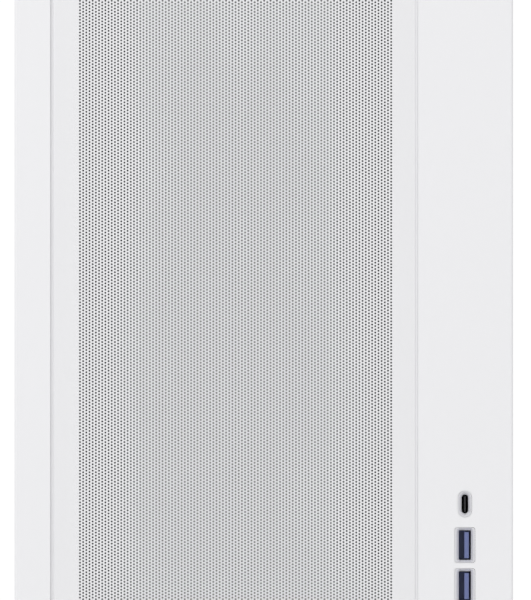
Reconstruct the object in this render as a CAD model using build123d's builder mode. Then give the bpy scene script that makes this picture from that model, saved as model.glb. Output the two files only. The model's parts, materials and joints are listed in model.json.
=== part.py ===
from build123d import *
from math import cos, radians, sin
import os

# Desktop computer tower, millimetres. +Z is up, the front faces -Y, +X is the viewer's right.
# The origin is under the middle of the case, on the surface that it stands on.

# ---- outer sizes ----
WIDTH = 210.0
DEPTH = 420.0
HEIGHT = 390.0
SIDE = WIDTH / 2
FRONT = -DEPTH / 2
FOOT_HEIGHT = 12.0
SCREW_HEAD = 2.0
BACK = DEPTH / 2 - SCREW_HEAD
DECK = 374.0
SHEET = 1.0
GAP = 0.5

# ---- moulded front ----
FRAME_BACK = FRONT + 30.0
FRAME_WALL = 2.5
EDGE_RADIUS = 1.2
INSERT_LEFT, INSERT_RIGHT = -88.9, 64.3
INSERT_LOW, INSERT_HIGH = 22.0, 380.0
LEFT_GROOVE, RIGHT_GROOVE = 1.0, 0.6
INSERT_RECESS = 0.6
LEDGE_FRONT = FRONT + 7.5
LEDGE_THICK = 2.0
PIN_INSET = 7.0

# ---- ports and buttons in the right column ----
PORT_X = 84.65
USB_C_Z = 119.1
USB_A_ZS = (101.8, 84.55)
JACK_Z = 67.3
RESET_Z = 56.5
POWER_Z = 41.0
USB_C_MOUTH = (5.8, 11.05)
USB_C_BORE = (2.75, 8.0)
USB_A_MOUTH = (8.5, 14.8)
USB_A_BORE = (5.12, 12.5)
JACK_RADIUS = 1.8
JACK_DEPTH = 13.4
BUTTON_RADIUS = 7.0
RESET_RADIUS = 2.2

# ---- chassis ----
CHASSIS_SIDE = 95.5
FLOOR = FOOT_HEIGHT + SHEET
PLATE_FRONT = FRAME_BACK - SHEET
TRAY_X = 88.0
SHROUD_TOP = 105.0
INNER_BACK = BACK - SHEET
STUD_RADIUS = 2.0
STUD_ZS = (40.0, 345.0)
STUD_YS = (FRAME_BACK + 6.0, INNER_BACK - 10.0)

# ---- power supply ----
PSU_SIZE = (150.0, 140.0, 86.0)
PSU_MID_Y = INNER_BACK - PSU_SIZE[1] / 2
PSU_TOP = FLOOR + PSU_SIZE[2]
INLET = (45.0, 76.0)
ROCKER_Z = 49.5
ROCKER_RADIUS = 6.0

# ---- main board: a plate standing on edge, its parts facing -X ----
BOARD_FACE = 81.4
BOARD_THICK = 1.6
BOARD_SIZE = 244.0
BOARD_BACK = 203.0
BOARD_LOW = 112.0
BOARD_TOP = BOARD_LOW + BOARD_SIZE
SOCKET_Y, SOCKET_Z = 118.0, 281.0
SLOT_PITCH = 20.32
SLOT_Z = 176.0
CARD_Z = SLOT_Z + 5.0
SHIELD_X, SHIELD_Z = (37.3, 81.75), (193.0, 351.75)
HOLE_SPOTS = [(y, z) for y in (196.6, 45.5, -34.6) for z in (351.0, 206.0, 118.0)]
MEMORY_YS = (20.0, 38.0)

# ---- fans ----
FAN_SIZE = 120.0
FAN_DEPTH = 25.0
FAN_HOLE_PITCH = 105.0
FAN_BORE = 57.0
SHAFT_RADIUS = 1.5
SHAFT_CLEARANCE = 0.05
FRONT_FAN_X = -12.3
FRONT_FAN_ZS = (300.0, 178.0)
REAR_FAN = (-28.0, 305.0)
COOLER_FAN_X = -22.0
CARD_FAN_YS = (24.0, 132.0)
CARD_FAN_X = 13.0


def block(low, high, mode=Mode.ADD):
    """Add to, or cut from, the part in hand the box between two corners."""
    size = [b - a for a, b in zip(low, high)]
    middle = [(a + b) / 2 for a, b in zip(low, high)]
    with Locations(tuple(middle)):
        Box(*size, mode=mode)


def facing_back(y):
    """A plane across the case at depth y: local x is +X, local y is +Z, its normal is -Y."""
    return Plane.XZ.offset(-y)


def keep(part, name):
    """Label a finished piece and write it to its own file."""
    part.label = name
    export_step(part, f"parts/{name}.step")


def hex_spots(pitch, fits):
    """Centres of a honeycomb vent about the origin, each one that fits(x, y) says is inside."""
    rows = range(-20, 21)
    spots = [((col + (row % 2) / 2) * pitch, row * pitch * sin(radians(60))) for row in rows
             for col in range(-20, 21)]
    return [spot for spot in spots if fits(*spot)]


def port_outline(half_mouth):
    """The outlines of the port mouths, grown by a gap, for holes and bezels."""
    with Locations((PORT_X, USB_C_Z)):
        SlotOverall(USB_C_MOUTH[1] + 2 * half_mouth, USB_C_MOUTH[0] + 2 * half_mouth, rotation=90)
    for z in USB_A_ZS:
        with Locations((PORT_X, z)):
            RectangleRounded(USB_A_MOUTH[0] + 2 * half_mouth, USB_A_MOUTH[1] + 2 * half_mouth, 1.2)


# ============================ shell ============================

def make_front_frame():
    """Moulded front: window with a lip and a ledge, port holes and four snap posts."""
    window = (INSERT_LEFT - LEFT_GROOVE, INSERT_RIGHT + RIGHT_GROOVE)
    window_x = sum(window) / 2
    window_z = (INSERT_LOW + INSERT_HIGH) / 2
    window_w = window[1] - window[0]
    window_h = INSERT_HIGH - INSERT_LOW + 2
    lip, ledge, gusset = 1.5, 5.0, 14.0
    corners = [(x, z) for x in (INSERT_LEFT + PIN_INSET, INSERT_RIGHT - PIN_INSET)
               for z in (INSERT_LOW + PIN_INSET, INSERT_HIGH - PIN_INSET)]
    with BuildPart() as front_frame:
        block((-SIDE, FRONT, FOOT_HEIGHT), (SIDE, FRAME_BACK, HEIGHT))
        front_edges = front_frame.edges().group_by(Axis.Y)[0]
        fillet(front_edges, EDGE_RADIUS)
        block((-SIDE + FRAME_WALL, FRONT + FRAME_WALL, FOOT_HEIGHT + FRAME_WALL),
              (SIDE - FRAME_WALL, FRAME_BACK, HEIGHT - FRAME_WALL), Mode.SUBTRACT)
        with BuildSketch(facing_back(FRONT + FRAME_WALL)):
            with Locations((window_x, window_z)):
                Rectangle(window_w + 2 * lip, window_h + 2 * lip)
        extrude(amount=-(LEDGE_FRONT + LEDGE_THICK - FRONT - FRAME_WALL))
        with BuildSketch(facing_back(FRONT)):
            with Locations((window_x, window_z)):
                Rectangle(window_w, window_h)
        extrude(amount=-(LEDGE_FRONT - FRONT), mode=Mode.SUBTRACT)
        with BuildSketch(facing_back(LEDGE_FRONT)):
            with Locations((window_x, window_z)):
                Rectangle(window_w - 2 * ledge, window_h - 2 * ledge)
            with Locations(*corners):
                Rectangle(gusset, gusset, mode=Mode.SUBTRACT)
        extrude(amount=-LEDGE_THICK, mode=Mode.SUBTRACT)
        with BuildSketch(facing_back(LEDGE_FRONT)):
            with Locations(*corners):
                Circle(STUD_RADIUS + 0.3)
        extrude(amount=-LEDGE_THICK, mode=Mode.SUBTRACT)
        with BuildSketch(facing_back(FRONT)):
            port_outline(0.1)
            with Locations((PORT_X, JACK_Z)):
                Circle(3.6)
            with Locations((PORT_X, RESET_Z)):
                Circle(RESET_RADIUS + 0.3)
            with Locations((PORT_X, POWER_Z)):
                Circle(BUTTON_RADIUS + 1.6)
        extrude(amount=-FRAME_WALL, mode=Mode.SUBTRACT)
        post_spots = [(x, z) for x in (-95.0, 95.0) for z in (30.0, 366.0)]
        with BuildSketch(facing_back(FRONT + FRAME_WALL)):
            with Locations(*post_spots):
                Circle(3.0)
        extrude(amount=-(PLATE_FRONT - FRONT - FRAME_WALL))
        with BuildSketch(facing_back(PLATE_FRONT)):
            with Locations(*post_spots):
                Circle(STUD_RADIUS)
        extrude(amount=-4.0)
    keep(front_frame.part, "front_frame")


def make_front_mesh_panel():
    """Sheet insert with edges bent back and a push pin at each corner."""
    face = FRONT + INSERT_RECESS
    middle = ((INSERT_LEFT + INSERT_RIGHT) / 2, (INSERT_LOW + INSERT_HIGH) / 2)
    size = (INSERT_RIGHT - INSERT_LEFT, INSERT_HIGH - INSERT_LOW)
    pins = [(x, z) for x in (INSERT_LEFT + PIN_INSET, INSERT_RIGHT - PIN_INSET)
            for z in (INSERT_LOW + PIN_INSET, INSERT_HIGH - PIN_INSET)]
    with BuildPart() as front_mesh_panel:
        with BuildSketch(facing_back(face)):
            with Locations(middle):
                Rectangle(*size)
        extrude(amount=-(LEDGE_FRONT - 0.3 - face))
        fillet(front_mesh_panel.edges().group_by(Axis.Y)[0], 0.5)
        with BuildSketch(facing_back(face + SHEET)):
            with Locations(middle):
                Rectangle(size[0] - 2 * SHEET, size[1] - 2 * SHEET)
        extrude(amount=-8.0, mode=Mode.SUBTRACT)
        with BuildSketch(facing_back(face + SHEET)):
            with Locations(*pins):
                Circle(STUD_RADIUS)
        extrude(amount=-13.0)
    keep(front_mesh_panel.part, "front_mesh_panel")


def make_front_filter():
    """Dust filter sheet behind the insert, with its corners cut away round the pins."""
    low_y = FRONT + INSERT_RECESS + SHEET + 0.2
    inset = SHEET + 0.6
    corners = [(x, z) for x in (INSERT_LEFT + PIN_INSET, INSERT_RIGHT - PIN_INSET)
               for z in (INSERT_LOW + PIN_INSET, INSERT_HIGH - PIN_INSET)]
    with BuildPart() as front_filter:
        block((INSERT_LEFT + inset, low_y, INSERT_LOW + inset),
              (INSERT_RIGHT - inset, low_y + 1.2, INSERT_HIGH - inset))
        with BuildSketch(facing_back(low_y)):
            with Locations(*corners):
                Circle(STUD_RADIUS + 0.8)
        extrude(amount=-1.2, mode=Mode.SUBTRACT)
    keep(front_filter.part, "front_filter")


def make_side_panel(name, side):
    """Flat sheet with all four edges bent inwards and four ball studs; side is -1 or 1."""
    low_y, high_y = FRAME_BACK + GAP, INNER_BACK - 0.3
    low_z, high_z = FOOT_HEIGHT + GAP, DECK - GAP
    flange = 6.0
    inner_face = min(side * (SIDE - SHEET), side * (SIDE - SHEET - flange))
    stud_length = SIDE - SHEET - 90.0
    stud_start = min(side * (SIDE - SHEET), side * 90.0)
    with BuildPart() as panel:
        with BuildSketch(Plane.YZ.offset(min(side * SIDE, side * (SIDE - SHEET)))):
            with Locations(((low_y + high_y) / 2, (low_z + high_z) / 2)):
                Rectangle(high_y - low_y, high_z - low_z)
        extrude(amount=SHEET)
        with BuildSketch(Plane.YZ.offset(inner_face)):
            with Locations(((low_y + high_y) / 2, (low_z + high_z) / 2)):
                Rectangle(high_y - low_y, high_z - low_z)
                Rectangle(high_y - low_y - 2 * SHEET, high_z - low_z - 2 * SHEET, mode=Mode.SUBTRACT)
        extrude(amount=flange)
        with BuildSketch(Plane.YZ.offset(stud_start)):
            with Locations(*[(y, z) for y in STUD_YS for z in STUD_ZS]):
                Circle(STUD_RADIUS)
        extrude(amount=stud_length)
    keep(panel.part, name)


def make_top_cover():
    """Shallow tray upside down, with four pegs that drop into the top chassis plate."""
    low_y, wall = FRAME_BACK + GAP, 1.5
    pegs = [(x, y) for x in (-80.0, 80.0) for y in (-165.0, 195.0)]
    with BuildPart() as top_cover:
        block((-SIDE, low_y, DECK + 0.3), (SIDE, BACK, HEIGHT))
        fillet(top_cover.edges().filter_by(Axis.Y).group_by(Axis.Z)[-1], EDGE_RADIUS)
        block((-SIDE + wall, low_y + wall, DECK + 0.3), (SIDE - wall, BACK - wall, HEIGHT - wall),
              Mode.SUBTRACT)
        with BuildSketch(Plane.XY.offset(DECK - 6.0)):
            with Locations(*pegs):
                Circle(STUD_RADIUS)
        extrude(amount=HEIGHT - wall - DECK + 6.0)
    keep(top_cover.part, "top_cover")


def make_base_filter():
    """Framed dust filter that slides between two rails under the base pan."""
    with BuildPart() as base_filter:
        block((-72.0, 64.0, 9.3), (72.0, 200.0, 11.5))
        block((-20.0, 200.0, 9.3), (20.0, 206.0, 11.5))
        fillet(base_filter.edges().filter_by(Axis.Z).group_by(Axis.Y)[-1], 3.0)
        with BuildSketch(Plane.XY.offset(11.0)):
            with Locations((0.0, 132.0)):
                Rectangle(132.0, 124.0)
        extrude(amount=0.5, mode=Mode.SUBTRACT)
    keep(base_filter.part, "base_filter")


def make_feet():
    """Four tapered moulded feet, each with a rubber pad under it."""
    spots = [(x, y) for x in (-90.0, 90.0) for y in (-165.0, 165.0)]
    pad_height = 3.0
    with BuildPart() as case_feet:
        with BuildSketch(Plane.XY.offset(pad_height)):
            with Locations(*spots):
                RectangleRounded(22.0, 46.0, 5.0)
        extrude(amount=FOOT_HEIGHT - pad_height)
    keep(case_feet.part, "case_feet")
    with BuildPart() as foot_pads:
        with BuildSketch(Plane.XY):
            with Locations(*spots):
                RectangleRounded(18.0, 42.0, 4.0)
        extrude(amount=pad_height)
        chamfer(foot_pads.edges().group_by(Axis.Z)[0], 0.6)
    keep(foot_pads.part, "foot_pads")


# ============================ chassis sheets ============================

def make_base_pan():
    """Bottom sheet with its sides turned up, a vent under the power supply and two rails."""
    with BuildPart() as base_pan:
        block((-CHASSIS_SIDE, FRAME_BACK, FOOT_HEIGHT), (CHASSIS_SIDE, INNER_BACK, FLOOR))
        for side in (-1, 1):
            outer, inner = side * CHASSIS_SIDE, side * (CHASSIS_SIDE - SHEET)
            block((min(outer, inner), FRAME_BACK, FLOOR), (max(outer, inner), INNER_BACK, FLOOR + 10))
            rail = sorted((side * 74.0, side * 75.0))
            block((rail[0], 62.0, 8.0), (rail[1], 204.0, FOOT_HEIGHT))
            lip = sorted((side * 70.0, side * 75.0))
            block((lip[0], 62.0, 8.0), (lip[1], 204.0, 9.0))
        with BuildSketch(Plane.XY.offset(FOOT_HEIGHT)):
            with Locations((0.0, PSU_MID_Y)):
                with GridLocations(0.0, 9.0, 1, 12):
                    SlotOverall(100.0, 5.0)
        extrude(amount=SHEET, mode=Mode.SUBTRACT)
    keep(base_pan.part, "base_pan")


def make_rear_panel():
    """Rear sheet: honeycomb fan vent, port and power supply cut-outs and four card slots."""
    with BuildPart() as rear_panel:
        block((-SIDE, INNER_BACK, FOOT_HEIGHT), (SIDE, BACK, DECK))
        for side in (-1, 1):
            flange = sorted((side * CHASSIS_SIDE, side * (CHASSIS_SIDE - SHEET)))
            block((flange[0], INNER_BACK - 20.0, 26.0), (flange[1], INNER_BACK, DECK - 3.0))
        with BuildSketch(Plane.YZ.offset(-CHASSIS_SIDE)):
            with Locations(*[(STUD_YS[1], z) for z in STUD_ZS]):
                Circle(STUD_RADIUS + 1.0)
        extrude(amount=2 * CHASSIS_SIDE, mode=Mode.SUBTRACT)
        with BuildSketch(facing_back(INNER_BACK)):
            with Locations(((SHIELD_X[0] + SHIELD_X[1]) / 2, (SHIELD_Z[0] + SHIELD_Z[1]) / 2)):
                Rectangle(SHIELD_X[1] - SHIELD_X[0], SHIELD_Z[1] - SHIELD_Z[0])
            with Locations((0.0, FLOOR + PSU_SIZE[2] / 2)):
                Rectangle(124.0, 74.0)
            with Locations(*[(28.0, SLOT_Z - i * SLOT_PITCH) for i in range(4)]):
                Rectangle(104.0, 12.6)
            with Locations(REAR_FAN):
                with Locations(*hex_spots(7.0, lambda x, y: x * x + y * y < (FAN_BORE - 3.5) ** 2)):
                    RegularPolygon(3.4, 6, rotation=30)
                with GridLocations(FAN_HOLE_PITCH, FAN_HOLE_PITCH, 2, 2):
                    Circle(2.2)
            with Locations(*rear_screw_spots()):
                Circle(2.0)
        extrude(amount=-SHEET, mode=Mode.SUBTRACT)
    keep(rear_panel.part, "rear_panel")


def rear_screw_spots():
    """Screws of the power supply's corners and of the slot covers' tabs."""
    supply = [(x, z) for x in (-69.0, 69.0) for z in (20.0, 92.0)]
    tabs = [(-31.0, SLOT_Z - i * SLOT_PITCH) for i in range(4)]
    return supply + tabs


def make_motherboard_tray():
    """Upright sheet that carries the main board, with cable slots beside and below it."""
    with BuildPart() as motherboard_tray:
        block((TRAY_X, -100.0, FLOOR), (TRAY_X + SHEET, INNER_BACK, DECK - SHEET))
        with BuildSketch(Plane.YZ.offset(TRAY_X)):
            with Locations((-60.0, 263.0)):
                RectangleRounded(26.0, 70.0, 6.0)
            with Locations((-60.0, 125.0)):
                RectangleRounded(26.0, 40.0, 6.0)
            with Locations((20.0, 60.0)):
                RectangleRounded(34.0, 34.0, 6.0)
            with Locations((SOCKET_Y, SOCKET_Z)):
                RectangleRounded(40.0, 60.0, 6.0)
            with Locations(*HOLE_SPOTS):
                Circle(1.6)
        extrude(amount=SHEET, mode=Mode.SUBTRACT)
        fillet(motherboard_tray.edges().filter_by(Axis.X).group_by(Axis.Y)[0], 6.0)
    keep(motherboard_tray.part, "motherboard_tray")


def make_psu_shroud():
    """Cover over the power supply bay: a vented deck and a side wall."""
    with BuildPart() as psu_shroud:
        block((-94.5, FRAME_BACK + 4.0, SHROUD_TOP - SHEET), (TRAY_X, INNER_BACK, SHROUD_TOP))
        block((-94.5, FRAME_BACK + 4.0, FLOOR), (-93.5, INNER_BACK, SHROUD_TOP))
        with BuildSketch(Plane.XY.offset(SHROUD_TOP - SHEET)):
            with Locations((-3.0, 30.0)):
                with GridLocations(9.0, 0.0, 14, 1):
                    SlotOverall(90.0, 5.0, rotation=90)
        extrude(amount=SHEET, mode=Mode.SUBTRACT)
        with BuildSketch(Plane.YZ.offset(-CHASSIS_SIDE)):
            with Locations(*[(y, STUD_ZS[0]) for y in STUD_YS]):
                Rectangle(26.0, 14.0)
        extrude(amount=3.0, mode=Mode.SUBTRACT)
    keep(psu_shroud.part, "psu_shroud")


def make_front_chassis_plate():
    """Sheet behind the moulded front: two slotted fan vents, snap holes and a cable hole."""
    with BuildPart() as front_chassis_plate:
        block((-SIDE + FRAME_WALL + GAP, PLATE_FRONT, FOOT_HEIGHT + FRAME_WALL + GAP),
              (SIDE - FRAME_WALL - GAP, FRAME_BACK, HEIGHT - FRAME_WALL - GAP))
        with BuildSketch(facing_back(PLATE_FRONT)):
            for z in FRONT_FAN_ZS:
                with Locations((FRONT_FAN_X, z)):
                    with GridLocations(0.0, 9.0, 1, 12):
                        SlotOverall(96.0, 6.0)
                    with GridLocations(FAN_HOLE_PITCH, FAN_HOLE_PITCH, 2, 2):
                        Circle(2.2)
            with Locations(*[(x, z) for x in (-95.0, 95.0) for z in (30.0, 366.0)]):
                Circle(STUD_RADIUS + 0.3)
            with Locations((90.0, 90.0)):
                RectangleRounded(16.0, 24.0, 4.0)
        extrude(amount=-SHEET, mode=Mode.SUBTRACT)
    keep(front_chassis_plate.part, "front_chassis_plate")


def make_top_chassis_plate():
    """Top sheet with slotted vents and peg holes."""
    with BuildPart() as top_chassis_plate:
        block((-CHASSIS_SIDE, FRAME_BACK, DECK - SHEET), (CHASSIS_SIDE, INNER_BACK, DECK))
        with BuildSketch(Plane.XY.offset(DECK - SHEET)):
            for y in (-75.0, 60.0):
                with Locations((-20.0, y)):
                    with GridLocations(0.0, 9.0, 1, 12):
                        SlotOverall(110.0, 6.0)
            with Locations(*[(x, y) for x in (-80.0, 80.0) for y in (-165.0, 195.0)]):
                Circle(STUD_RADIUS + 0.3)
        extrude(amount=SHEET, mode=Mode.SUBTRACT)
    keep(top_chassis_plate.part, "top_chassis_plate")


def make_panel_clips():
    """Eight plastic sockets that grip the side panels' studs."""
    with BuildPart() as panel_clips:
        for side in (-1, 1):
            start = min(side * 94.5, side * 89.0)
            with BuildSketch(Plane.YZ.offset(start)):
                with Locations(*[(y, z) for y in STUD_YS for z in STUD_ZS]):
                    RectangleRounded(12.0, 12.0, 2.0)
                    Circle(STUD_RADIUS + 0.2, mode=Mode.SUBTRACT)
            extrude(amount=5.5)
    keep(panel_clips.part, "panel_clips")


# ============================ fans ============================

def fan_frame(plane):
    """Square frame with a round duct; air leaves along the plane's normal, where the struts are."""
    with BuildPart() as frame:
        with BuildSketch(plane):
            RectangleRounded(FAN_SIZE, FAN_SIZE, 5.0)
            Circle(FAN_BORE, mode=Mode.SUBTRACT)
            with GridLocations(FAN_HOLE_PITCH, FAN_HOLE_PITCH, 2, 2):
                Circle(2.15, mode=Mode.SUBTRACT)
        extrude(amount=FAN_DEPTH)
        with BuildSketch(plane.offset(FAN_DEPTH - 3.0)):
            Circle(19.0)
            for angle in (45, 135):
                Rectangle(2 * FAN_BORE + 2.0, 4.0, rotation=angle)
        extrude(amount=3.0)
        with BuildSketch(plane.offset(FAN_DEPTH - 8.0)):
            Circle(5.0)
        extrude(amount=5.0)
        with BuildSketch(plane.offset(FAN_DEPTH - 8.0)):
            Circle(SHAFT_RADIUS + SHAFT_CLEARANCE)
        extrude(amount=8.0, mode=Mode.SUBTRACT)
    return frame.part


def fan_rotor(plane, tip=54.5, hub=20.0, low=3.0, high=16.2, blades=7, shaft=6.0):
    """Hub with swept blades, between two heights above the plane, and a shaft beyond the hub."""
    chord = 0.62 * tip
    with BuildPart() as rotor:
        with BuildSketch(plane.offset(low)):
            Circle(hub)
        extrude(amount=high - low)
        with BuildSketch(plane.offset(high)):
            Circle(SHAFT_RADIUS)
        extrude(amount=shaft)
        middle = (low + high) / 2
        rise = high - low
        for i in range(blades):
            angle = radians(i * 360.0 / blades)
            outwards = plane.x_dir * cos(angle) + plane.y_dir * sin(angle)
            across = plane.y_dir * cos(angle) - plane.x_dir * sin(angle)
            for radius, pitch in ((hub - 1.5, 34.0), (tip, 20.0)):
                spot = plane.origin + outwards * radius + plane.z_dir * middle
                width = min(chord * radius / tip + 4.0, rise * 1.6)
                with BuildSketch(Plane(origin=spot, x_dir=across, z_dir=outwards)):
                    RectangleRounded(width, 1.6, 0.7, rotation=pitch)
            loft()
    return rotor.part


def make_case_fans():
    """Three case fans: two blow in behind the front, one blows out at the rear."""
    front_planes = [Plane((FRONT_FAN_X, FRAME_BACK, z), x_dir=(-1, 0, 0), z_dir=(0, 1, 0))
                    for z in FRONT_FAN_ZS]
    rear_plane = Plane((REAR_FAN[0], INNER_BACK - FAN_DEPTH, REAR_FAN[1]), x_dir=(-1, 0, 0),
                       z_dir=(0, 1, 0))
    frames = [fan_frame(plane) for plane in front_planes + [rear_plane]]
    keep(Compound(children=frames), "case_fan_frames")
    keep(fan_rotor(front_planes[0]), "front_fan_rotor_upper")
    keep(fan_rotor(front_planes[1]), "front_fan_rotor_lower")
    keep(fan_rotor(rear_plane), "rear_fan_rotor")


def make_fan_screws():
    """Twelve screws: eight from in front into the front fans, four from behind into the rear fan."""
    front_spots = [(FRONT_FAN_X + dx, z + dz) for z in FRONT_FAN_ZS for dx in (-52.5, 52.5)
                   for dz in (-52.5, 52.5)]
    rear_spots = [(REAR_FAN[0] + dx, REAR_FAN[1] + dz) for dx in (-52.5, 52.5)
                  for dz in (-52.5, 52.5)]
    with BuildPart() as fan_screws:
        with BuildSketch(facing_back(PLATE_FRONT)):
            with Locations(*front_spots):
                Circle(3.8)
        extrude(amount=SCREW_HEAD)
        with BuildSketch(facing_back(PLATE_FRONT)):
            with Locations(*front_spots):
                Circle(1.9)
        extrude(amount=-9.0)
        with BuildSketch(facing_back(BACK)):
            with Locations(*rear_spots):
                Circle(3.8)
        extrude(amount=-SCREW_HEAD)
        with BuildSketch(facing_back(BACK)):
            with Locations(*rear_spots):
                Circle(1.9)
        extrude(amount=9.0)
        with BuildSketch(facing_back(BACK + SCREW_HEAD)):
            with Locations(*rear_spots):
                Rectangle(4.4, 1.0)
                Rectangle(1.0, 4.4)
        extrude(amount=1.2, mode=Mode.SUBTRACT)
    keep(fan_screws.part, "fan_screws")


# ============================ power supply ============================

def make_psu_housing():
    """Folded steel box: fan hole below, honeycomb behind, cut-out for the inlet and switch."""
    half = PSU_SIZE[0] / 2
    low_y = INNER_BACK - PSU_SIZE[1]
    inner_x = half - SHEET
    with BuildPart() as psu_housing:
        block((-half, low_y, FLOOR), (half, INNER_BACK, PSU_TOP))
        block((-inner_x, low_y + SHEET, FLOOR + SHEET), (inner_x, INNER_BACK - SHEET, PSU_TOP - SHEET),
              Mode.SUBTRACT)
        with BuildSketch(Plane.XY.offset(FLOOR)):
            with Locations((0.0, PSU_MID_Y)):
                Circle(FAN_BORE)
        extrude(amount=SHEET, mode=Mode.SUBTRACT)
        with BuildSketch(facing_back(INNER_BACK - SHEET)):
            with Locations((-18.0, FLOOR + PSU_SIZE[2] / 2)):
                with Locations(*hex_spots(7.0, lambda x, y: abs(x) < 42 and abs(y) < 33)):
                    RegularPolygon(3.4, 6, rotation=30)
            with Locations((INLET[0], (INLET[1] + ROCKER_Z + 1.5) / 2)):
                Rectangle(28.4, INLET[1] - ROCKER_Z + 20.9)
            with Locations(*rear_screw_spots()[:4]):
                Circle(1.95)
        extrude(amount=-SHEET, mode=Mode.SUBTRACT)
        with BuildSketch(facing_back(low_y)):
            with Locations((60.0, 60.0)):
                Circle(4.5)
        extrude(amount=-SHEET, mode=Mode.SUBTRACT)
    keep(psu_housing.part, "psu_housing")


def make_psu_fan():
    """The supply's own fan, facing down, and the wire grille in the housing's hole."""
    plane = Plane((0.0, PSU_MID_Y, FLOOR + SHEET), x_dir=(1, 0, 0), z_dir=(0, 0, 1))
    keep(fan_frame(plane), "psu_fan_frame")
    keep(fan_rotor(plane), "psu_fan_rotor")
    wire = 1.5
    ring_pitch = (FAN_BORE - wire - 6.0) / 5
    with BuildPart() as psu_fan_grille:
        with BuildSketch(Plane.XY.offset(FLOOR)):
            with Locations((0.0, PSU_MID_Y)):
                for ring in range(6):
                    Circle(6.0 + ring_pitch * ring + wire)
                    Circle(6.0 + ring_pitch * ring, mode=Mode.SUBTRACT)
                for angle in (45, 135):
                    Rectangle(112.0, wire, rotation=angle)
                Circle(5.0)
        extrude(amount=SHEET)
    keep(psu_fan_grille.part, "psu_fan_grille")


def make_psu_circuit():
    """The supply's circuit board hung under its lid, with coils and capacitors below it."""
    low_z = 44.0
    with BuildPart() as psu_circuit:
        block((-70.0, 74.0, 92.0), (70.0, 186.0, 93.6))
        block((-30.0, 110.0, 58.0), (12.0, 148.0, 92.0))
        block((-66.0, 84.0, 50.0), (-60.0, 170.0, 92.0))
        block((56.0, 84.0, 50.0), (62.0, 170.0, 92.0))
        with BuildSketch(Plane.XY.offset(low_z)):
            with Locations((-40.0, 95.0), (-40.0, 130.0)):
                Circle(12.0)
        extrude(amount=92.0 - low_z)
        with BuildSketch(Plane.XY.offset(66.0)):
            with Locations((32.0, 100.0), (32.0, 130.0), (32.0, 160.0)):
                Circle(10.0)
                Circle(4.0, mode=Mode.SUBTRACT)
        extrude(amount=26.0)
    keep(psu_circuit.part, "psu_circuit")


def make_psu_inlet():
    """Moulded mains inlet with the switch's cradle below it, and three pins."""
    flange_y = BACK - 0.6
    with BuildPart() as psu_inlet:
        block((INLET[0] - 14.0, 184.0, ROCKER_Z - 9.5), (INLET[0] + 14.0, flange_y, INLET[1] + 11.0))
        with BuildSketch(facing_back(flange_y)):
            with Locations(INLET):
                Polygon((-12.0, -8.25), (12.0, -8.25), (12.0, 4.0), (7.5, 8.25), (-7.5, 8.25),
                        (-12.0, 4.0), align=None)
        extrude(amount=16.5, mode=Mode.SUBTRACT)
        with BuildSketch(Plane.XY.offset(ROCKER_Z - 8.2)):
            with Locations((INLET[0], flange_y - 4.0)):
                Circle(ROCKER_RADIUS + 0.3)
        extrude(amount=16.4, mode=Mode.SUBTRACT)
    keep(psu_inlet.part, "psu_inlet")
    floor_y = flange_y - 16.5
    with BuildPart() as inlet_pins:
        for dx, dz in ((-7.0, -2.5), (0.0, 1.5), (7.0, -2.5)):
            block((INLET[0] + dx - 1.0, floor_y, INLET[1] + dz - 2.0),
                  (INLET[0] + dx + 1.0, floor_y + 11.5, INLET[1] + dz + 2.0))
    keep(inlet_pins.part, "inlet_pins")
    with BuildPart() as psu_rocker:
        with BuildSketch(Plane.XY.offset(ROCKER_Z - 7.9)):
            with Locations((INLET[0], flange_y - 4.0)):
                Circle(ROCKER_RADIUS)
        extrude(amount=15.8)
        with BuildSketch(Plane.XY.offset(ROCKER_Z - 7.9)):
            with Locations((INLET[0], flange_y - 4.0)):
                Polygon((-8.0, 4.2), (-0.8, 3.2), (8.0, 6.2), (8.0, 9.0), (-8.0, 9.0), align=None)
        extrude(amount=15.8, mode=Mode.SUBTRACT)
    keep(psu_rocker.part, "psu_rocker")


def make_rear_screws():
    """Identical screws of the power supply and the slot covers, heads outside the rear sheet."""
    with BuildPart() as rear_screws:
        with BuildSketch(facing_back(BACK)):
            with Locations(*rear_screw_spots()):
                RegularPolygon(4.2, 6)
        extrude(amount=-SCREW_HEAD)
        with BuildSketch(facing_back(BACK)):
            with Locations(*rear_screw_spots()):
                Circle(1.75)
        extrude(amount=3.0)
        with BuildSketch(facing_back(BACK + SCREW_HEAD)):
            with Locations(*rear_screw_spots()):
                Rectangle(4.4, 1.0)
                Rectangle(1.0, 4.4)
        extrude(amount=1.2, mode=Mode.SUBTRACT)
    keep(rear_screws.part, "rear_screws")


# ============================ main board ============================

def make_motherboard():
    """Circuit board with its screw holes, and the standoffs and screws that hold it."""
    board_front = BOARD_BACK - BOARD_SIZE
    with BuildPart() as motherboard:
        block((BOARD_FACE, board_front, BOARD_LOW), (BOARD_FACE + BOARD_THICK, BOARD_BACK, BOARD_TOP))
        with BuildSketch(Plane.YZ.offset(BOARD_FACE)):
            with Locations(*HOLE_SPOTS):
                Circle(2.0)
        extrude(amount=BOARD_THICK, mode=Mode.SUBTRACT)
    keep(motherboard.part, "motherboard")
    with BuildPart() as board_standoffs:
        with BuildSketch(Plane.YZ.offset(BOARD_FACE + BOARD_THICK)):
            with Locations(*HOLE_SPOTS):
                RegularPolygon(2.9, 6)
                Circle(1.6, mode=Mode.SUBTRACT)
        extrude(amount=TRAY_X - BOARD_FACE - BOARD_THICK)
    keep(board_standoffs.part, "board_standoffs")
    with BuildPart() as board_screws:
        with BuildSketch(Plane.YZ.offset(BOARD_FACE - SCREW_HEAD)):
            with Locations(*HOLE_SPOTS):
                Circle(3.2)
        extrude(amount=SCREW_HEAD)
        with BuildSketch(Plane.YZ.offset(BOARD_FACE)):
            with Locations(*HOLE_SPOTS):
                Circle(1.45)
        extrude(amount=5.0)
    keep(board_screws.part, "board_screws")


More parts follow.
